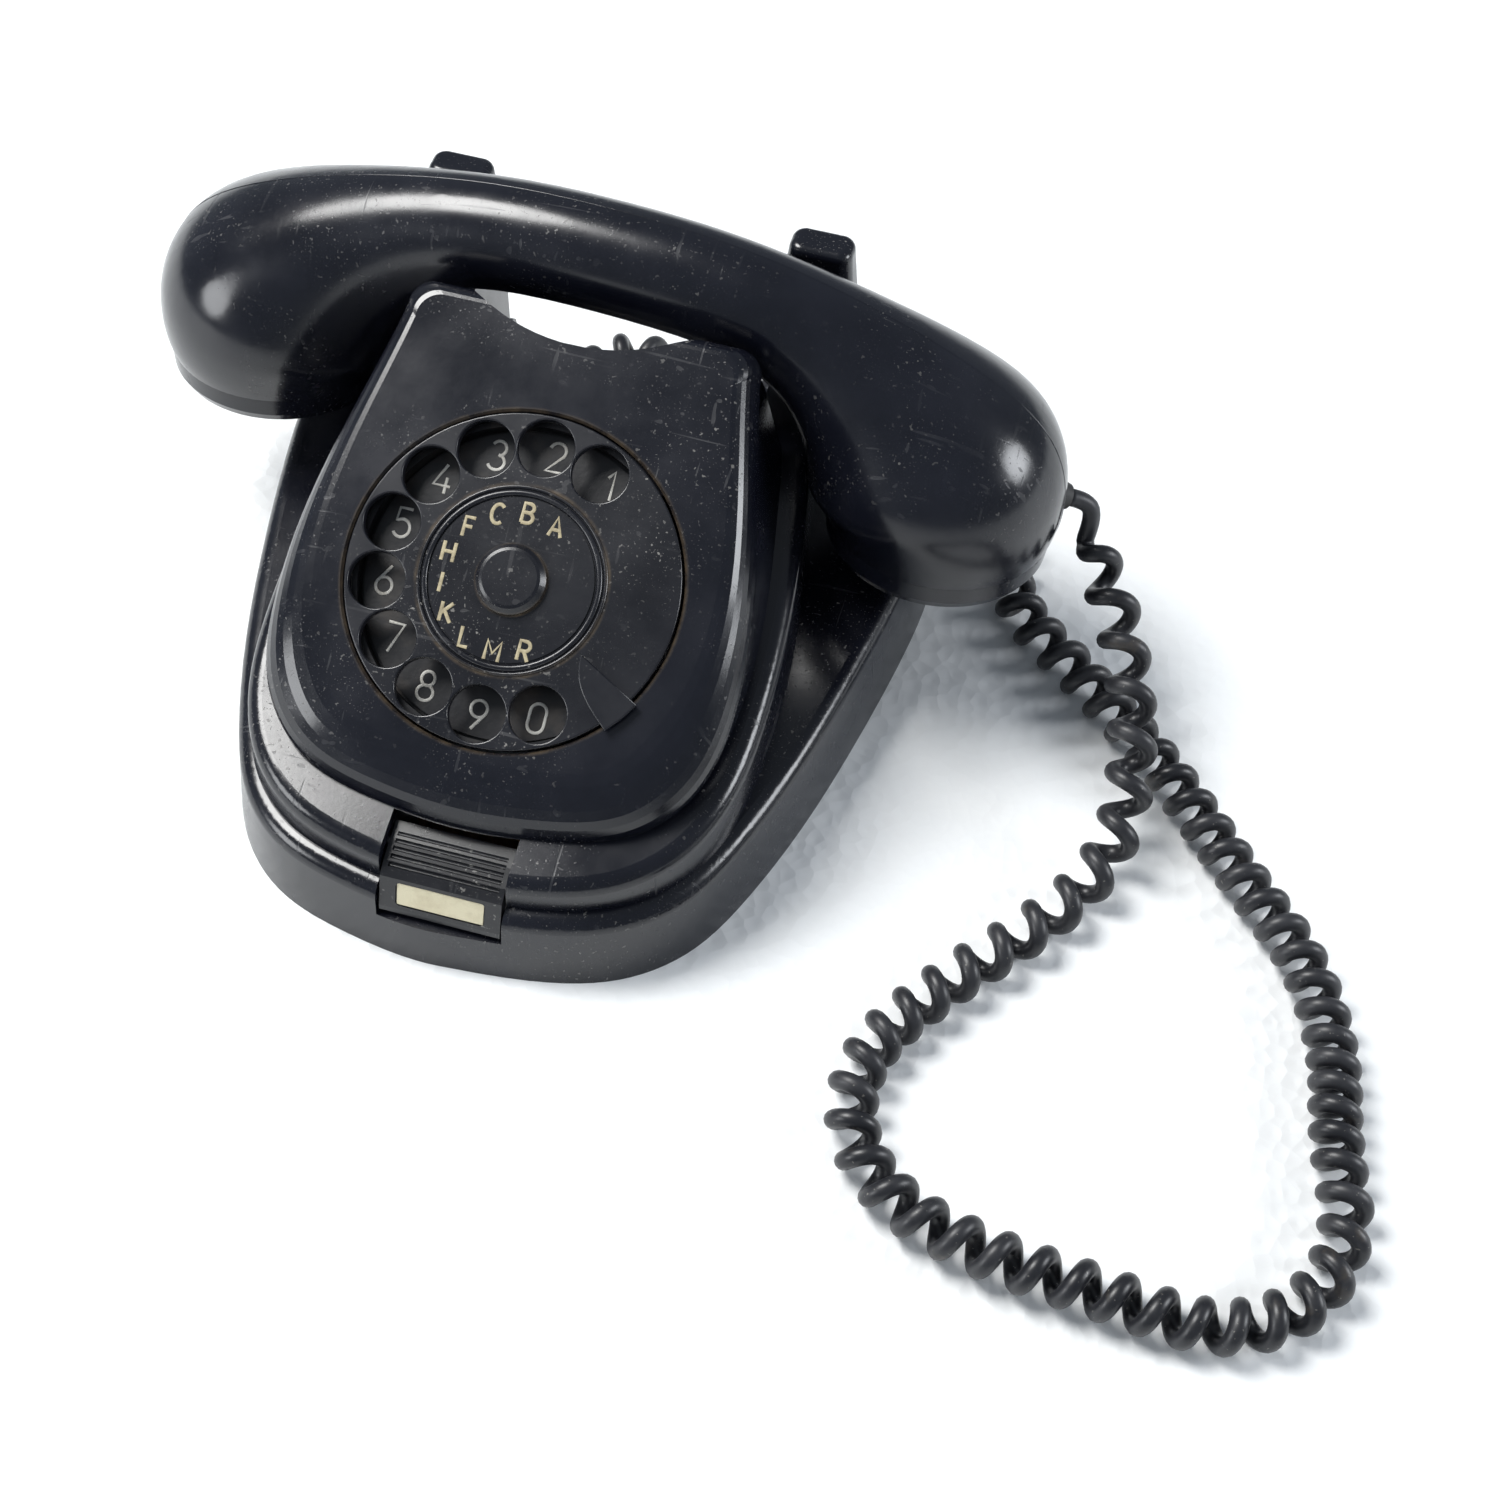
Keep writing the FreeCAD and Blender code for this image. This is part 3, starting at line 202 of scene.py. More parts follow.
COIL_PITCH = [  # metres along the cord from its handset end, metres from turn to turn
    (0.0, 0.0125), (0.035, 0.0122), (0.060, 0.0109), (0.100, 0.0113), (0.128, 0.0098),
    (0.150, 0.0082), (0.165, 0.0080), (0.185, 0.0088), (0.250, 0.0087), (0.275, 0.0083),
    (0.300, 0.0092), (0.320, 0.0084), (0.333, 0.0064), (0.352, 0.0058), (0.368, 0.0077),
    (0.420, 0.0078), (0.450, 0.0087), (0.480, 0.0092), (0.520, 0.0092), (0.700, 0.0085),
]
FIRST_TURN = math.radians(200)
RAMP = 0.006
AXIS_STEP, WIRE_STEP, WIRE_SIDES = 0.3 * MM, 1.1 * MM, 14


def helix_points(axis):
    """The cord's own line: a left-hand helix round the axis, drawn in to the axis at both ends."""
    along = lengths_along(axis)
    total = along[-1]
    points, phase = [], FIRST_TURN
    tangent = (axis[1] - axis[0]).normalized()
    side = (Vector((0, 0, 1)) - tangent * tangent.z).normalized()
    for i, place in enumerate(axis):
        step = axis[min(i + 1, len(axis) - 1)] - axis[max(i - 1, 0)]
        tangent = step.normalized()
        side = (side - tangent * side.dot(tangent)).normalized()
        other = tangent.cross(side)
        open_up = ease(along[i] / RAMP) * ease((total - along[i]) / RAMP)
        radius = COIL_RADIUS * open_up
        points.append(place + (side * math.cos(phase) - other * math.sin(phase)) * radius)
        if i + 1 < len(axis):
            phase += 2 * math.pi * (along[i + 1] - along[i]) / table_value(COIL_PITCH, along[i])
    return points


def add_cord():
    """The handset cord as one wire: plain end, coil and plain end."""
    handset_lead = spline_points(HANDSET_LEAD)
    axis = resample(spline_points(CORD_ROUTE), AXIS_STEP)
    base_lead = spline_points(BASE_LEAD)
    line = handset_lead[:-1] + helix_points(axis) + base_lead[1:]
    line = resample(line, WIRE_STEP)
    cord = tube_mesh("curly_cord_wire", line, WIRE_RADIUS, WIRE_SIDES)
    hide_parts("curly_cord", "cord_lead_handset", "cord_lead_base")
    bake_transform(cord)
    return cord


cord = add_cord()


# ------------------------------------------------------------------ shared places
def dial_frame():
    """The dial's own frame: x right, y up its face and z out of it."""
    joint = JOINTS["dial_turn"]
    out = -Vector(joint["axis"]).normalized()
    right = Vector((1.0, 0.0, 0.0))
    turn = Matrix((right, out.cross(right), out)).transposed().to_4x4()
    return Matrix.Translation(Vector(joint["pos_m"])) @ turn


FACE = dial_frame()
DIAL_CENTRE, DIAL_AXIS = FACE.to_translation(), FACE.to_3x3() @ Vector((0, 0, 1))


def on_face_range(node):
    """How far a node reaches out of the dial's plane, lowest and highest."""
    inverse = FACE.inverted()
    depths = [(inverse @ v.co).z for v in NODES[node].data.vertices]
    return min(depths), max(depths)


def radius_on_face(node):
    """How far a node reaches from the dial's axis."""
    inverse = FACE.inverted()
    return max((inverse @ v.co).xy.length for v in NODES[node].data.vertices)


# ------------------------------------------------------------------ materials
class Shader:
    """A material's nodes, made with short calls."""

    def __init__(self, name, **values):
        self.material = bpy.data.materials.new(name)
        self.material.use_nodes = True
        self.tree = self.material.node_tree
        self.bsdf = self.tree.nodes["Principled BSDF"]
        self.place = self.node("ShaderNodeTexCoord").outputs["Object"]
        for key, value in values.items():
            self.set(key, value)

    def set(self, key, value):
        socket = self.bsdf.inputs[key.replace("_", " ")]
        if isinstance(value, tuple):
            value = (*value, 1.0)
        socket.default_value = value

    def node(self, kind, **settings):
        node = self.tree.nodes.new(kind)
        for key, value in settings.items():
            setattr(node, key, value)
        return node

    def link(self, a, b):
        self.tree.links.new(a, b)

    def noise(self, scale, detail=4.0, roughness=0.55, stretch=None):
        """Noise in the object's own space; stretch holds a scale and, if wanted, three angles."""
        node = self.node("ShaderNodeTexNoise")
        node.inputs["Scale"].default_value = scale
        node.inputs["Detail"].default_value = detail
        node.inputs["Roughness"].default_value = roughness
        source = self.place
        if stretch:
            mapping = self.node("ShaderNodeMapping")
            mapping.inputs["Scale"].default_value = stretch[:3]
            if len(stretch) > 3:
                mapping.inputs["Rotation"].default_value = stretch[3:]
            self.link(source, mapping.inputs["Vector"])
            source = mapping.outputs["Vector"]
        self.link(source, node.inputs["Vector"])
        return node.outputs["Fac"]

    def ramp(self, source, *stops, kind="LINEAR"):
        """A map range: from (x0, y0) to (x1, y1)."""
        (x0, y0), (x1, y1) = stops
        node = self.node("ShaderNodeMapRange", interpolation_type=kind)
        for key, value in zip(("From Min", "From Max", "To Min", "To Max"), (x0, x1, y0, y1)):
            node.inputs[key].default_value = value
        self.link(source, node.inputs["Value"])
        return node.outputs["Result"]

    def math(self, operation, a, b=0.0):
        node = self.node("ShaderNodeMath", operation=operation)
        for socket, value in zip(node.inputs, (a, b)):
            if isinstance(value, (int, float)):
                socket.default_value = value
            else:
                self.link(value, socket)
        return node.outputs[0]

    def mix(self, factor, a, b):
        """A colour between two, each a colour or a socket."""
        node = self.node("ShaderNodeMix", data_type="RGBA")
        self.link(factor, node.inputs["Factor"])
        for index, value in ((6, a), (7, b)):
            if isinstance(value, tuple):
                node.inputs[index].default_value = (*value, 1.0)
            else:
                self.link(value, node.inputs[index])
        return node.outputs[2]

    def vector(self, operation, a, b, output="Vector"):
        node = self.node("ShaderNodeVectorMath", operation=operation)
        for socket, value in zip(node.inputs, (a, b)):
            if value is None:
                continue
            if isinstance(value, (tuple, Vector)):
                socket.default_value = tuple(value)
            else:
                self.link(value, socket)
        return node.outputs[output]

    def ring_mask(self, centre, axis, radius, half_width):
        """1 on a cylinder round an axis, fading to 0 at half_width from it."""
        offset = self.vector("SUBTRACT", self.place, centre)
        along = self.vector("PROJECT", offset, axis)
        reach = self.vector("LENGTH", self.vector("SUBTRACT", offset, along), None, "Value")
        away = self.math("ABSOLUTE", self.math("SUBTRACT", reach, radius))
        return self.ramp(away, (0.0, 1.0), (half_width, 0.0))

    def bump(self, height, strength, distance):
        node = self.node("ShaderNodeBump")
        node.inputs["Strength"].default_value = strength
        node.inputs["Distance"].default_value = distance
        self.link(height, node.inputs["Height"])
        self.link(node.outputs["Normal"], self.bsdf.inputs["Normal"])

    def to(self, key, socket):
        self.link(socket, self.bsdf.inputs[key])


HAIRLINES = ((0.6, (1.0, 0.03, 0.3)), (-0.5, (0.04, 1.0, 0.4)), (1.2, (0.5, 1.0, 0.03)))


def bakelite(name, base=(0.0036, 0.0042, 0.0078), rough=0.22, dust=1.0, grime=()):
    """Polished black phenolic: cloudy gloss, hairline scratches, dust specks and lint.

    grime is a list of (centre, axis, radius, half width): rings on the surface that hold dirt.
    """
    s = Shader(name, IOR=1.52)
    cloud = s.noise(42.0, 5.0, 0.6)
    fine = s.noise(900.0, 2.0, 0.5)
    specks = s.ramp(s.noise(950.0, 1.0, 0.4), (0.70, 0.0), (0.73, 1.0))
    small = s.ramp(s.noise(2300.0, 1.0, 0.4), (0.70, 0.0), (0.74, 0.6))
    patches = s.ramp(s.noise(30.0, 3.0, 0.7), (0.44, 0.0), (0.68, 1.0))
    dust_mask = s.math("MULTIPLY", s.math("MAXIMUM", specks, small), patches)
    hairs = []
    for turn, stretch in HAIRLINES:
        line = s.noise(620.0, 1.0, 0.5, stretch=(*stretch, 0.3, 0.2, turn))
        hairs.append(s.ramp(line, (0.70, 0.0), (0.735, 1.0)))
    scratches = s.math("MAXIMUM", s.math("MAXIMUM", hairs[0], hairs[1]), hairs[2])
    scratches = s.math("MULTIPLY", scratches, patches)
    haze = s.ramp(cloud, (0.35, 0.0), (0.75, 1.0))
    colour = s.mix(haze, base, tuple(c * 1.5 + 0.0015 for c in base))
    colour = s.mix(s.math("MULTIPLY", dust_mask, 0.40 * dust), colour, (0.30, 0.29, 0.27))
    colour = s.mix(s.math("MULTIPLY", scratches, 0.06), colour, (0.20, 0.20, 0.21))
    for centre, axis, radius, width in grime:
        ring = s.ring_mask(centre, axis, radius, width)
        patchy = s.ramp(s.noise(150.0, 4.0, 0.7), (0.40, 0.15), (0.66, 1.0))
        colour = s.mix(s.math("MULTIPLY", ring, s.math("MULTIPLY", patchy, 0.75)), colour,
                       (0.110, 0.082, 0.052))
    s.to("Base Color", colour)
    marks = s.math("MULTIPLY", s.math("MAXIMUM", dust_mask, scratches), 0.20)
    s.to("Roughness", s.math("ADD", s.ramp(cloud, (0.3, rough - 0.06), (0.8, rough + 0.10)), marks))
    height = s.math("ADD", s.math("MULTIPLY", fine, 0.20),
                    s.math("SUBTRACT", s.math("MULTIPLY", dust_mask, 0.7),
                           s.math("MULTIPLY", scratches, 0.4)))
    s.bump(height, 0.10, 0.0004)
    return s.material


def enamel(name, base=(0.010, 0.010, 0.012), rough=0.34):
    """Black enamel on the fixed dial plate, with brown dirt lying in its hollows."""
    s = Shader(name)
    cloud = s.noise(90.0, 5.0, 0.6)
    dirt = s.math("MULTIPLY", s.ramp(cloud, (0.52, 0.0), (0.72, 1.0)), 0.35)
    s.to("Base Color", s.mix(dirt, base, (0.075, 0.055, 0.038)))
    s.to("Roughness", s.ramp(cloud, (0.3, rough - 0.06), (0.8, rough + 0.18)))
    s.bump(s.noise(800.0, 2.0), 0.12, 0.0003)
    return s.material


def metal(name, base, rough, brushed=False, dull=(0.30, 0.29, 0.27)):
    """Bare or plated metal with duller clouds and, if brushed, a fine grain."""
    s = Shader(name, Metallic=1.0)
    cloud = s.noise(60.0, 5.0, 0.6)
    s.to("Base Color", s.mix(s.ramp(cloud, (0.45, 0.0), (0.85, 0.55)), base, dull))
    s.to("Roughness", s.ramp(cloud, (0.3, rough - 0.06), (0.8, rough + 0.14)))
    grain = s.noise(900.0, 2.0, 0.5, stretch=(1.0, 0.05, 0.05) if brushed else None)
    s.bump(grain, 0.15, 0.0003)
    return s.material


def rubber(name, base=(0.018, 0.018, 0.019), rough=0.55, dusty=0.35):
    """Matt black rubber with pale grime."""
    s = Shader(name)
    cloud = s.noise(70.0, 5.0, 0.65)
    grime = s.math("MULTIPLY", s.ramp(cloud, (0.45, 0.0), (0.75, 1.0)), dusty)
    s.to("Base Color", s.mix(grime, base, (0.070, 0.066, 0.060)))
    s.to("Roughness", s.ramp(cloud, (0.3, rough - 0.08), (0.8, rough + 0.15)))
    s.bump(s.noise(1300.0, 3.0, 0.6), 0.25, 0.0003)
    return s.material


def cord_jacket(name):
    """Satin vinyl: dark grey, chalky where hands have rubbed it, with patches of tan dust."""
    s = Shader(name, IOR=1.5)
    cloud = s.noise(48.0, 5.0, 0.65)
    chalk = s.ramp(cloud, (0.40, 0.0), (0.80, 1.0))
    colour = s.mix(chalk, (0.010, 0.0105, 0.0135), (0.040, 0.041, 0.046))
    tan = s.math("MULTIPLY", s.ramp(s.noise(60.0, 4.0, 0.7, stretch=(1.3, 1.1, 1.2)),
                                    (0.60, 0.0), (0.74, 1.0)), 0.35)
    colour = s.mix(tan, colour, (0.13, 0.105, 0.075))
    specks = s.ramp(s.noise(1200.0, 1.0), (0.72, 0.0), (0.76, 0.55))
    s.to("Base Color", s.mix(specks, colour, (0.22, 0.21, 0.19)))
    s.to("Roughness", s.ramp(cloud, (0.3, 0.33), (0.8, 0.50)))
    streaks = s.noise(500.0, 3.0, 0.6, stretch=(1.0, 1.0, 0.3))
    s.bump(streaks, 0.12, 0.0003)
    return s.material


def ink(name, light, dark, rough=0.45):
    """Filled lettering, uneven with age."""
    s = Shader(name)
    worn = s.ramp(s.noise(260.0, 4.0, 0.7), (0.42, 0.0), (0.75, 1.0))
    s.to("Base Color", s.mix(worn, light, dark))
    s.to("Roughness", s.ramp(worn, (0.0, rough), (1.0, rough + 0.2)))
    s.bump(s.noise(1500.0, 2.0), 0.2, 0.0002)
    return s.material


def card(name):
    """Cream card, stained with age."""
    s = Shader(name, Roughness=0.75)
    stain = s.ramp(s.noise(120.0, 5.0, 0.7), (0.40, 0.0), (0.80, 1.0))
    colour = s.mix(stain, (0.72, 0.66, 0.47), (0.50, 0.42, 0.27))
    s.to("Base Color", colour)
    s.bump(s.noise(1600.0, 4.0, 0.7), 0.3, 0.0002)
    return s.material


def coil_wrap(name, base=(0.33, 0.12, 0.035)):
    """Wound tape or board in a warm brown."""
    s = Shader(name)
    wind = s.noise(500.0, 3.0, 0.6, stretch=(1.0, 0.1, 0.1))
    s.to("Base Color", s.mix(s.ramp(wind, (0.35, 0.0), (0.7, 1.0)), base,
                             tuple(c * 0.5 for c in base)))
    s.to("Roughness", s.ramp(wind, (0.3, 0.42), (0.8, 0.65)))
    s.bump(wind, 0.3, 0.0004)
    return s.material


MATERIALS = {
    "bakelite": bakelite("bakelite_gloss"),
    "number_enamel": enamel("number_enamel_black"),
    "label_card": card("label_card_cream"),
    "zinc_steel": metal("zinc_plate", (0.50, 0.51, 0.53), 0.34, brushed=True),
    "bright_steel": metal("bright_steel_pin", (0.60, 0.60, 0.61), 0.25),
    "gear_brass": metal("gear_brass_cut", (0.68, 0.50, 0.22), 0.30, dull=(0.40, 0.27, 0.12)),
    "gong_metal": metal("gong_nickel", (0.46, 0.45, 0.42), 0.30),
    "soft_rubber": rubber("soft_rubber_matt"),
    "cord_jacket": cord_jacket("cord_jacket_satin"),
    "coil_wrap": coil_wrap("coil_wrap_tape"),
    "insulator": coil_wrap("insulator_board", (0.22, 0.11, 0.045)),
    "capsule_aluminium": metal("capsule_satin", (0.62, 0.62, 0.63), 0.32),
}
WHEEL_RADIUS = radius_on_face("finger_wheel")
CASING_MATERIAL = bakelite("bakelite_casing", grime=[
    (DIAL_CENTRE, DIAL_AXIS, WHEEL_RADIUS + 0.7 * MM, 0.9 * MM)])
DIAL_MATERIAL = bakelite(
    "bakelite_dial", base=(0.0048, 0.0052, 0.0080), rough=0.27, dust=1.5,
    grime=[(DIAL_CENTRE, DIAL_AXIS, radius_on_face("bead_ring") + 0.1 * MM, 0.7 * MM),
           (DIAL_CENTRE, DIAL_AXIS, radius_on_face("hub_cap") + 0.1 * MM, 0.5 * MM)])
HANDSET_MATERIAL = bakelite("bakelite_handset", base=(0.0034, 0.0040, 0.0076), rough=0.20,
                            dust=0.8)
KEY_MATERIAL = bakelite("bakelite_key", base=(0.0055, 0.0057, 0.0075), rough=0.30, dust=1.6)


def paint(obj, material):
    """Gives an object one material."""
    obj.data.materials.clear()
    obj.data.materials.append(material)


for subpart in RECORD["subparts"]:
    paint(NODES[subpart["node"]], MATERIALS[subpart["material_slot"]])
paint(NODES["casing"], CASING_MATERIAL)
paint(NODES["key_flap"], KEY_MATERIAL)
for name in ("finger_wheel", "letter_disc", "bead_ring", "hub_cap", "finger_stop"):
    paint(NODES[name], DIAL_MATERIAL)
for name in ("handset_handle", "ear_cap", "mouth_cap"):
    paint(NODES[name], HANDSET_MATERIAL)
paint(cord, MATERIALS["cord_jacket"])


# ------------------------------------------------------------------ dial
# Strokes on a grid one unit high: plain tuples are corners, and six numbers are an arc's centre,
# radii and first and last angle.
GLYPHS = {
    "0": [[(.28, .72, .28, .28, 0, 180), (.28, .28, .28, .28, 180, 360), (.56, .72)]],
    "1": [[(.10, .74), (.30, 1), (.30, 0)]],
    "2": [[(.28, .72, .28, .28, 165, -35), (0, 0), (.57, 0)]],
    "3": [[(.27, .745, .25, .255, 155, -80)], [(.27, .265, .29, .265, 85, -155)]],
    "4": [[(.36, 1), (0, .26), (.60, .26)], [(.44, .56), (.44, 0)]],
    "5": [[(.52, 1), (.07, 1), (.04, .56), (.27, .31, .29, .31, 125, -150)]],
    "6": [[(.41, 1), (.28, .29, .28, .29, 150, 510)]],
    "7": [[(0, 1), (.56, 1), (.18, 0)]],
    "8": [[(.28, .755, .23, .245, -90, 270)], [(.28, .265, .28, .265, 90, 450)]],
    "9": [[(.15, 0), (.28, .71, .28, .29, -30, 330)]],
    "A": [[(0, 0), (.32, 1), (.64, 0)], [(.12, .34), (.52, .34)]],
    "B": [[(0, 0), (0, 1), (.27, 1), (.27, .765, .24, .235, 90, -90), (0, .53)],
          [(.27, .53), (.27, .265, .29, .265, 90, -90), (0, 0)]],
    "C": [[(.34, .5, .34, .5, 48, 312)]],
    "F": [[(0, 0), (0, 1), (.50, 1)], [(0, .53), (.42, .53)]],
    "H": [[(0, 0), (0, 1)], [(.58, 0), (.58, 1)], [(0, .5), (.58, .5)]],
    "I": [[(.02, 0), (.02, 1)]],
    "K": [[(0, 0), (0, 1)], [(.54, 1), (0, .40)], [(.17, .58), (.58, 0)]],
    "L": [[(0, 1), (0, 0), (.46, 0)]],
    "M": [[(0, 0), (0, 1), (.36, .36), (.72, 1), (.72, 0)]],
    "R": [[(0, 0), (0, 1), (.27, 1), (.27, .745, .27, .255, 90, -90), (0, .49)],
          [(.27, .49), (.55, 0)]],
}
ARC_STEP = 12
DIGIT_RADIUS, DIGIT_HEIGHT, DIGIT_STROKE = 30.4 * MM, 6.7 * MM, 0.74 * MM
LETTER_RADIUS, LETTER_HEIGHT, LETTER_STROKE = 15.8 * MM, 4.4 * MM, 0.86 * MM
DIGIT_TURN, LETTER_DROP, INK_RISE = -2.5, 0.5 * MM, 0.06 * MM


def stroke_line(stroke):
    """The points of one stroke, its arcs opened out."""
    line = []
    for part in stroke:
        if len(part) == 2:
            line.append(part)
            continue
        x, y, rx, ry, first, last = part
        steps = max(2, round(abs(last - first) / ARC_STEP))
        for i in range(steps + 1):
            angle = math.radians(first + (last - first) * i / steps)
            line.append((x + rx * math.cos(angle), y + ry * math.sin(angle)))
    return line


def lettering(name, marks, height, thickness, level, rise):
    """Strokes of paint with rounded edges, lying on the face at a level.  marks: (glyph, x, y)."""
    curve = bpy.data.curves.new(name, "CURVE")
    curve.dimensions = "3D"
    curve.bevel_depth = thickness / 2
    curve.bevel_resolution = 2
    curve.use_fill_caps = True
    for glyph, x, y in marks:
        strokes = [stroke_line(stroke) for stroke in GLYPHS[glyph]]
        width = max(px for line in strokes for px, _ in line)
        for line in strokes:
            spline = curve.splines.new("POLY")
            spline.points.add(len(line) - 1)
            for point, (px, py) in zip(spline.points, line):
                point.co = (x + (px - width / 2) * height, y + (py - 0.5) * height, 0.0, 1.0)
    holder = bpy.data.objects.new(name, curve)
    mesh = bpy.data.meshes.new_from_object(holder)
    bpy.data.objects.remove(holder)
    flat = Matrix.Diagonal((1.0, 1.0, 2 * rise / thickness, 1.0))
    mesh.transform(FACE @ Matrix.Translation((0, 0, level)) @ flat)
    for poly in mesh.polygons:
        poly.use_smooth = True
    obj = bpy.data.objects.new(name, mesh)
    SCENE.collection.objects.link(obj)
    return obj


FINGER_PITCH, FINGER_HOLE = 30.6 * MM, 6.5 * MM
FINGER_FIRST, FINGER_STEP = 64.575, 25.65
PLATE_EDGE = 0.35 * MM


def around(radius, degrees):
    """A point on the dial's face by its radius and direction."""
    angle = math.radians(degrees)
    return radius * math.cos(angle), radius * math.sin(angle)


def add_lettering():
    """The figures under the finger holes and the letters on the disc."""
    digit_level = on_face_range("number_plate")[1]
    letter_level = on_face_range("letter_disc")[1]
    digits, letters = [], []
    for i, glyph in enumerate("1234567890"):
        turn = FINGER_FIRST + FINGER_STEP * i + DIGIT_TURN
        digits.append((glyph, *around(DIGIT_RADIUS, turn)))
    for i, glyph in enumerate("ABCFHIKLMR"):
        x, y = around(LETTER_RADIUS, FINGER_FIRST + FINGER_STEP * i)
        letters.append((glyph, x, y - LETTER_DROP))
    plain = lettering(
        "dial_digits", digits, DIGIT_HEIGHT, DIGIT_STROKE, digit_level, INK_RISE)
    gilt = lettering(
        "dial_letters", letters, LETTER_HEIGHT, LETTER_STROKE, letter_level, INK_RISE)
    paint(plain, ink("digit_white", (0.62, 0.61, 0.57), (0.34, 0.32, 0.28)))
    paint(gilt, ink("letter_gilt", (0.40, 0.345, 0.215), (0.17, 0.135, 0.08)))
    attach(plain, "housing")
    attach(gilt, "dial")


add_lettering()


def add_circle(curve, x, y, radius):
    """A closed round outline of four Bezier arcs."""
    reach = 0.5523 * radius
    spline = curve.splines.new("BEZIER")
    spline.bezier_points.add(3)
    for point, (ux, uy) in zip(spline.bezier_points, ((1, 0), (0, 1), (-1, 0), (0, -1))):
        point.co = (x + ux * radius, y + uy * radius, 0)
        point.handle_left = (x + ux * radius + uy * reach, y + uy * radius - ux * reach, 0)
        point.handle_right = (x + ux * radius - uy * reach, y + uy * radius + ux * reach, 0)
    spline.use_cyclic_u = True
    spline.resolution_u = 20


def rounded_plate(name, low, high, add_outline):
    """A flat plate on the dial between two levels, with all its edges softly rounded."""
    curve = bpy.data.curves.new(name, "CURVE")
    curve.dimensions = "2D"
    curve.fill_mode = "BOTH"
    curve.extrude = (high - low) / 2 - PLATE_EDGE
    curve.bevel_depth = PLATE_EDGE
    curve.bevel_resolution = 3
    curve.offset = -PLATE_EDGE
    add_outline(curve)
    holder = bpy.data.objects.new(name, curve)
    mesh = bpy.data.meshes.new_from_object(holder)
    bpy.data.objects.remove(holder)
    mesh.transform(Matrix.Translation((0, 0, (low + high) / 2)))
    for poly in mesh.polygons:
        poly.use_smooth = abs(poly.normal.z) < 0.999
    mesh.transform(FACE)
    plate = bpy.data.objects.new(name, mesh)
    SCENE.collection.objects.link(plate)
    paint(plate, DIAL_MATERIAL)
    return plate


def wheel_outline(curve):
    add_circle(curve, 0, 0, WHEEL_RADIUS)
    for i in range(10):
        add_circle(curve, *around(FINGER_PITCH, FINGER_FIRST + FINGER_STEP * i), FINGER_HOLE)


def stop_outline(curve):
    """The finger stop's hooked blade, from its tip round to the rim of the dial's opening."""
    rim = radius_on_face("finger_stop") - 0.05 * MM
    outline = [(radius * MM, degrees) for radius, degrees in STOP_HOOK]
    outline += [(rim, 316.0), (rim, 322.5), (rim, 328.9)]
    corners = (0, len(outline) - 3, len(outline) - 1)
    spline = curve.splines.new("BEZIER")
    spline.bezier_points.add(len(outline) - 1)
    for i, (point, (radius, degrees)) in enumerate(zip(spline.bezier_points, outline)):
        point.co = (*around(radius, degrees), 0)
        point.handle_left_type = point.handle_right_type = "VECTOR" if i in corners else "AUTO"
    spline.use_cyclic_u = True
    spline.resolution_u = 12


STOP_HOOK = [(23.0, 327.4), (25.4, 321.0), (28.4, 317.4), (32.0, 315.9), (36.0, 315.7)]
STOP_THICK = 1.2 * MM
wheel = rounded_plate("finger_wheel_rounded", *on_face_range("finger_wheel"), wheel_outline)
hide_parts("finger_wheel")
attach(wheel, "dial")
STOP_TOP = on_face_range("finger_stop")[1]
stop = rounded_plate("finger_stop_rounded", STOP_TOP - STOP_THICK, STOP_TOP, stop_outline)
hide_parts("finger_stop")
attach(stop, "housing")


# ------------------------------------------------------------------ handset
GRIP_CENTRE = Vector((0.0, 0.0486, 0.0950))
MOULD_NORMAL = Vector((0.0570, 0.9886, -0.1392))
FLASH_RADIUS, FLASH_HEIGHT, FLASH_STEP, FLASH_SIDES = 0.30 * MM, 0.12 * MM, 1.5 * MM, 8
SHORTEST_LOOP = 20


def outer_loop(mesh, centre, normal):
    """The longest loop of points where a plane cuts a mesh."""
    cut = bmesh.new()
    cut.from_mesh(mesh)
    bmesh.ops.remove_doubles(cut, verts=cut.verts, dist=1e-6)
    found = bmesh.ops.bisect_plane(
        cut, geom=cut.verts[:] + cut.edges[:] + cut.faces[:], dist=2e-6,
        plane_co=centre, plane_no=normal)["geom_cut"]
    edges = {e for e in found if isinstance(e, bmesh.types.BMEdge)}
    best = []
    while edges:
        first = edges.pop()
        chain = [first.verts[0], first.verts[1]]
        while True:
            step = next((e for e in chain[-1].link_edges if e in edges), None)
            if step is None:
                break
            edges.discard(step)
            chain.append(step.other_vert(chain[-1]))
        if len(chain) > len(best):
            best = chain
    points = [v.co.copy() for v in best]
    cut.free()
    return points


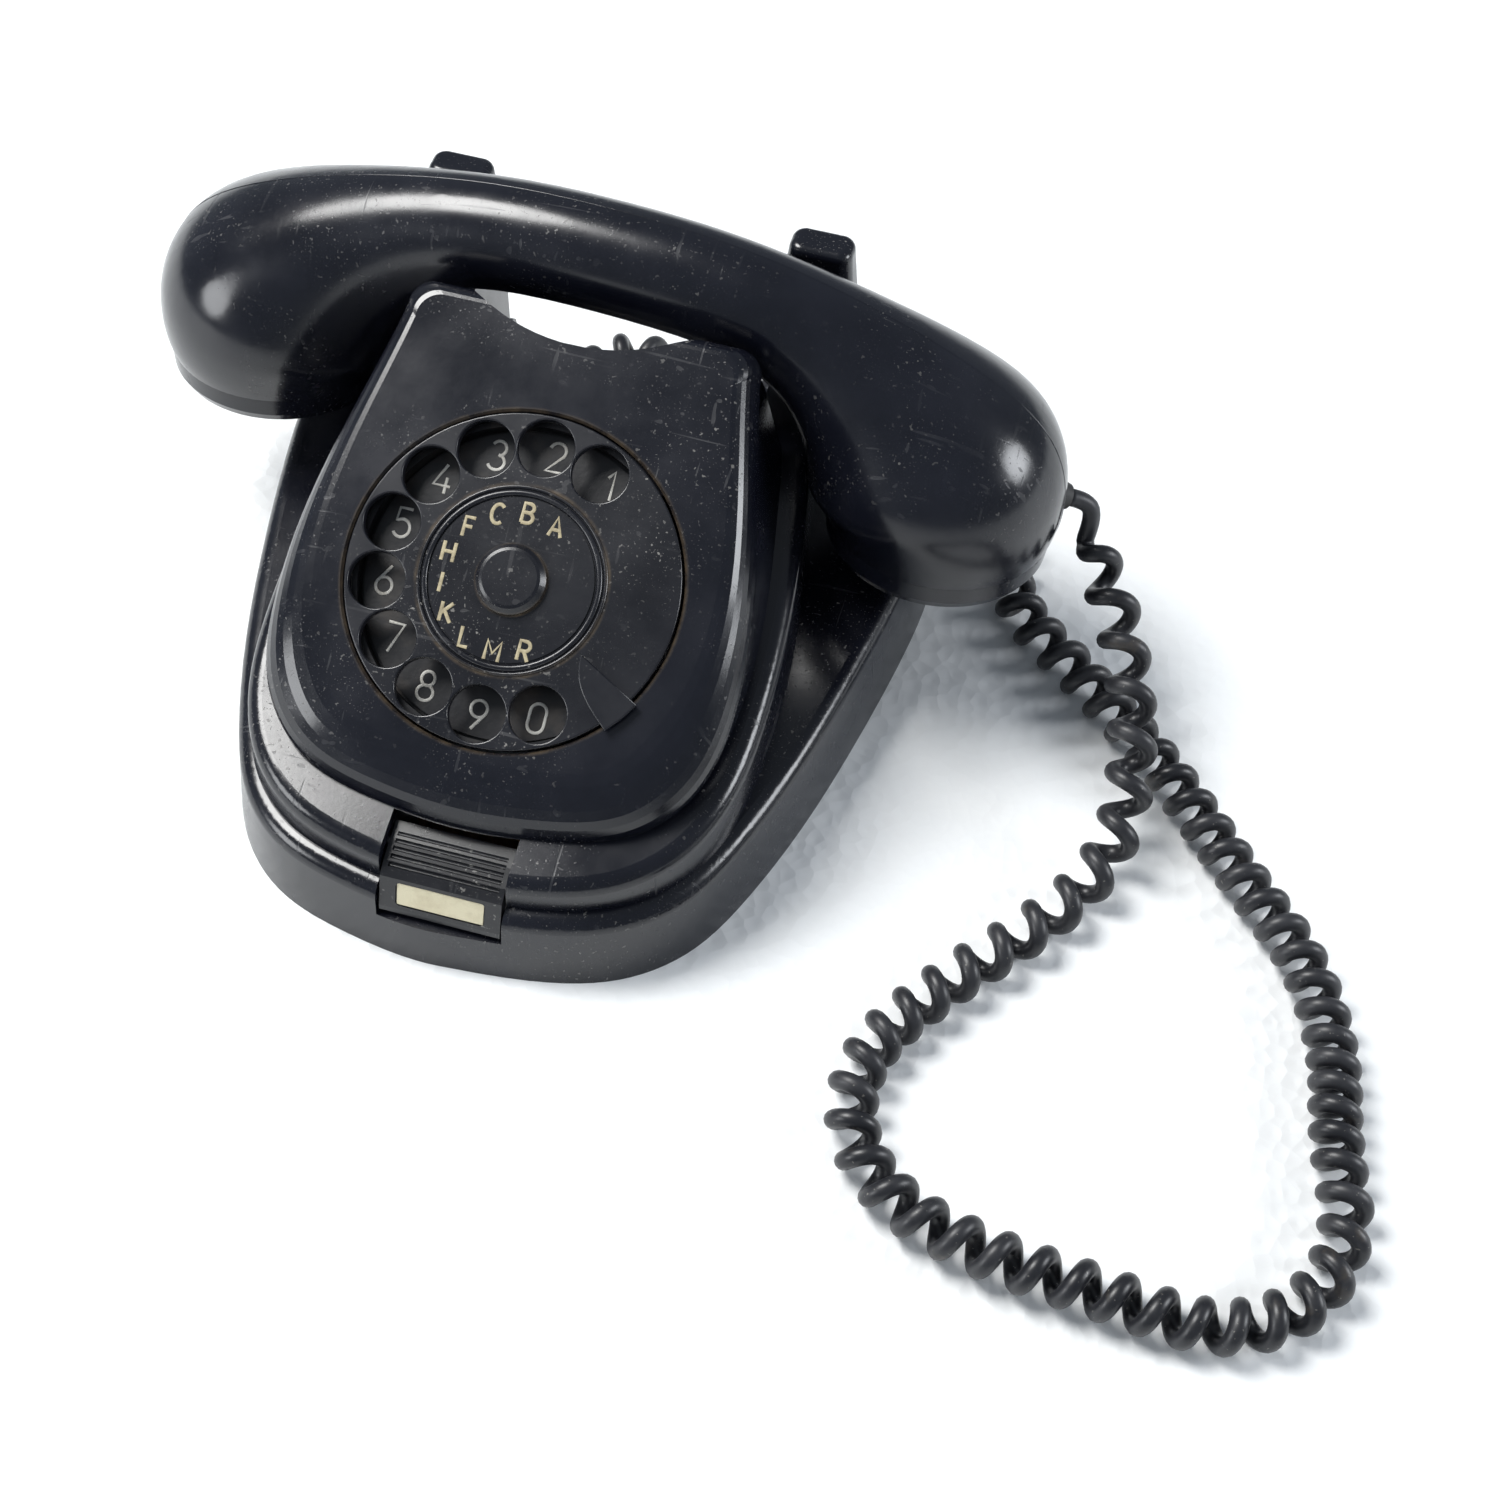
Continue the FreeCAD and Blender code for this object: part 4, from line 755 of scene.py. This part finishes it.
def add_mould_line():
    """The fine raised line where the handset's two mould halves met."""
    loop = outer_loop(NODES["handset_handle"].data, GRIP_CENTRE, MOULD_NORMAL)
    if len(loop) < SHORTEST_LOOP:
        return
    middle = sum(loop, Vector()) / len(loop)
    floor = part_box("mouth_cap")[1].z
    top = [p for p in loop if p.z > floor]
    ordered = resample(top, FLASH_STEP)
    line = []
    for i, point in enumerate(ordered):
        step = ordered[min(i + 1, len(ordered) - 1)] - ordered[max(i - 1, 0)]
        if step.length < 1e-9:
            continue
        outward = step.normalized().cross(MOULD_NORMAL)
        if outward.dot(point - middle) < 0:
            outward = -outward
        line.append(point - outward * (FLASH_RADIUS - FLASH_HEIGHT))
    ridge = tube_mesh("mould_line", line, FLASH_RADIUS, FLASH_SIDES)
    paint(ridge, HANDSET_MATERIAL)
    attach(ridge, "handset")


add_mould_line()


# ------------------------------------------------------------------ floor and light
def add_stage():
    """A plain pale floor with a fine foam grain."""
    bpy.ops.mesh.primitive_grid_add(x_subdivisions=8, y_subdivisions=8, size=6.0,
                                    location=(0, 0, 0))
    floor = bpy.context.object
    floor.name = "floor"
    s = Shader("floor_white", Roughness=0.6)
    s.to("Base Color", s.mix(s.noise(60.0, 3.0), (0.86, 0.88, 0.89), (0.92, 0.93, 0.93)))
    cell = s.node("ShaderNodeTexVoronoi")
    cell.inputs["Scale"].default_value = 260.0
    s.link(s.place, cell.inputs["Vector"])
    s.bump(cell.outputs["Distance"], 0.18, 0.002)
    paint(floor, s.material)


def add_light(name, place, aim, size, power, colour):
    """A soft round lamp that looks at a point."""
    data = bpy.data.lights.new(name, "AREA")
    data.shape, data.size, data.energy, data.color = "DISK", size, power, colour
    lamp = bpy.data.objects.new(name, data)
    SCENE.collection.objects.link(lamp)
    toward = (Vector(aim) - Vector(place)).normalized()
    lamp.matrix_world = (Matrix.Translation(place)
                         @ toward.to_track_quat("-Z", "Y").to_matrix().to_4x4())


def add_lights():
    """Soft studio light from above, the right and the left, in a pale surround."""
    add_light("key", (-0.72, 0.10, 1.25), (0.0, 0.0, 0.05), 0.70, 25.0, (1.0, 0.995, 0.98))
    add_light("right", (1.15, 0.15, 0.55), (0.0, 0.0, 0.05), 0.50, 8.0, (0.93, 0.96, 1.0))
    add_light("left", (-1.05, -0.75, 0.50), (0.0, 0.0, 0.05), 0.60, 7.0, (0.96, 0.98, 1.0))
    world = bpy.data.worlds.new("studio")
    world.use_nodes = True
    background = world.node_tree.nodes["Background"]
    background.inputs["Color"].default_value = (0.80, 0.89, 1.0, 1.0)
    background.inputs["Strength"].default_value = 0.27
    SCENE.world = world
    SCENE.view_settings.view_transform = "Standard"


add_stage()
add_lights()
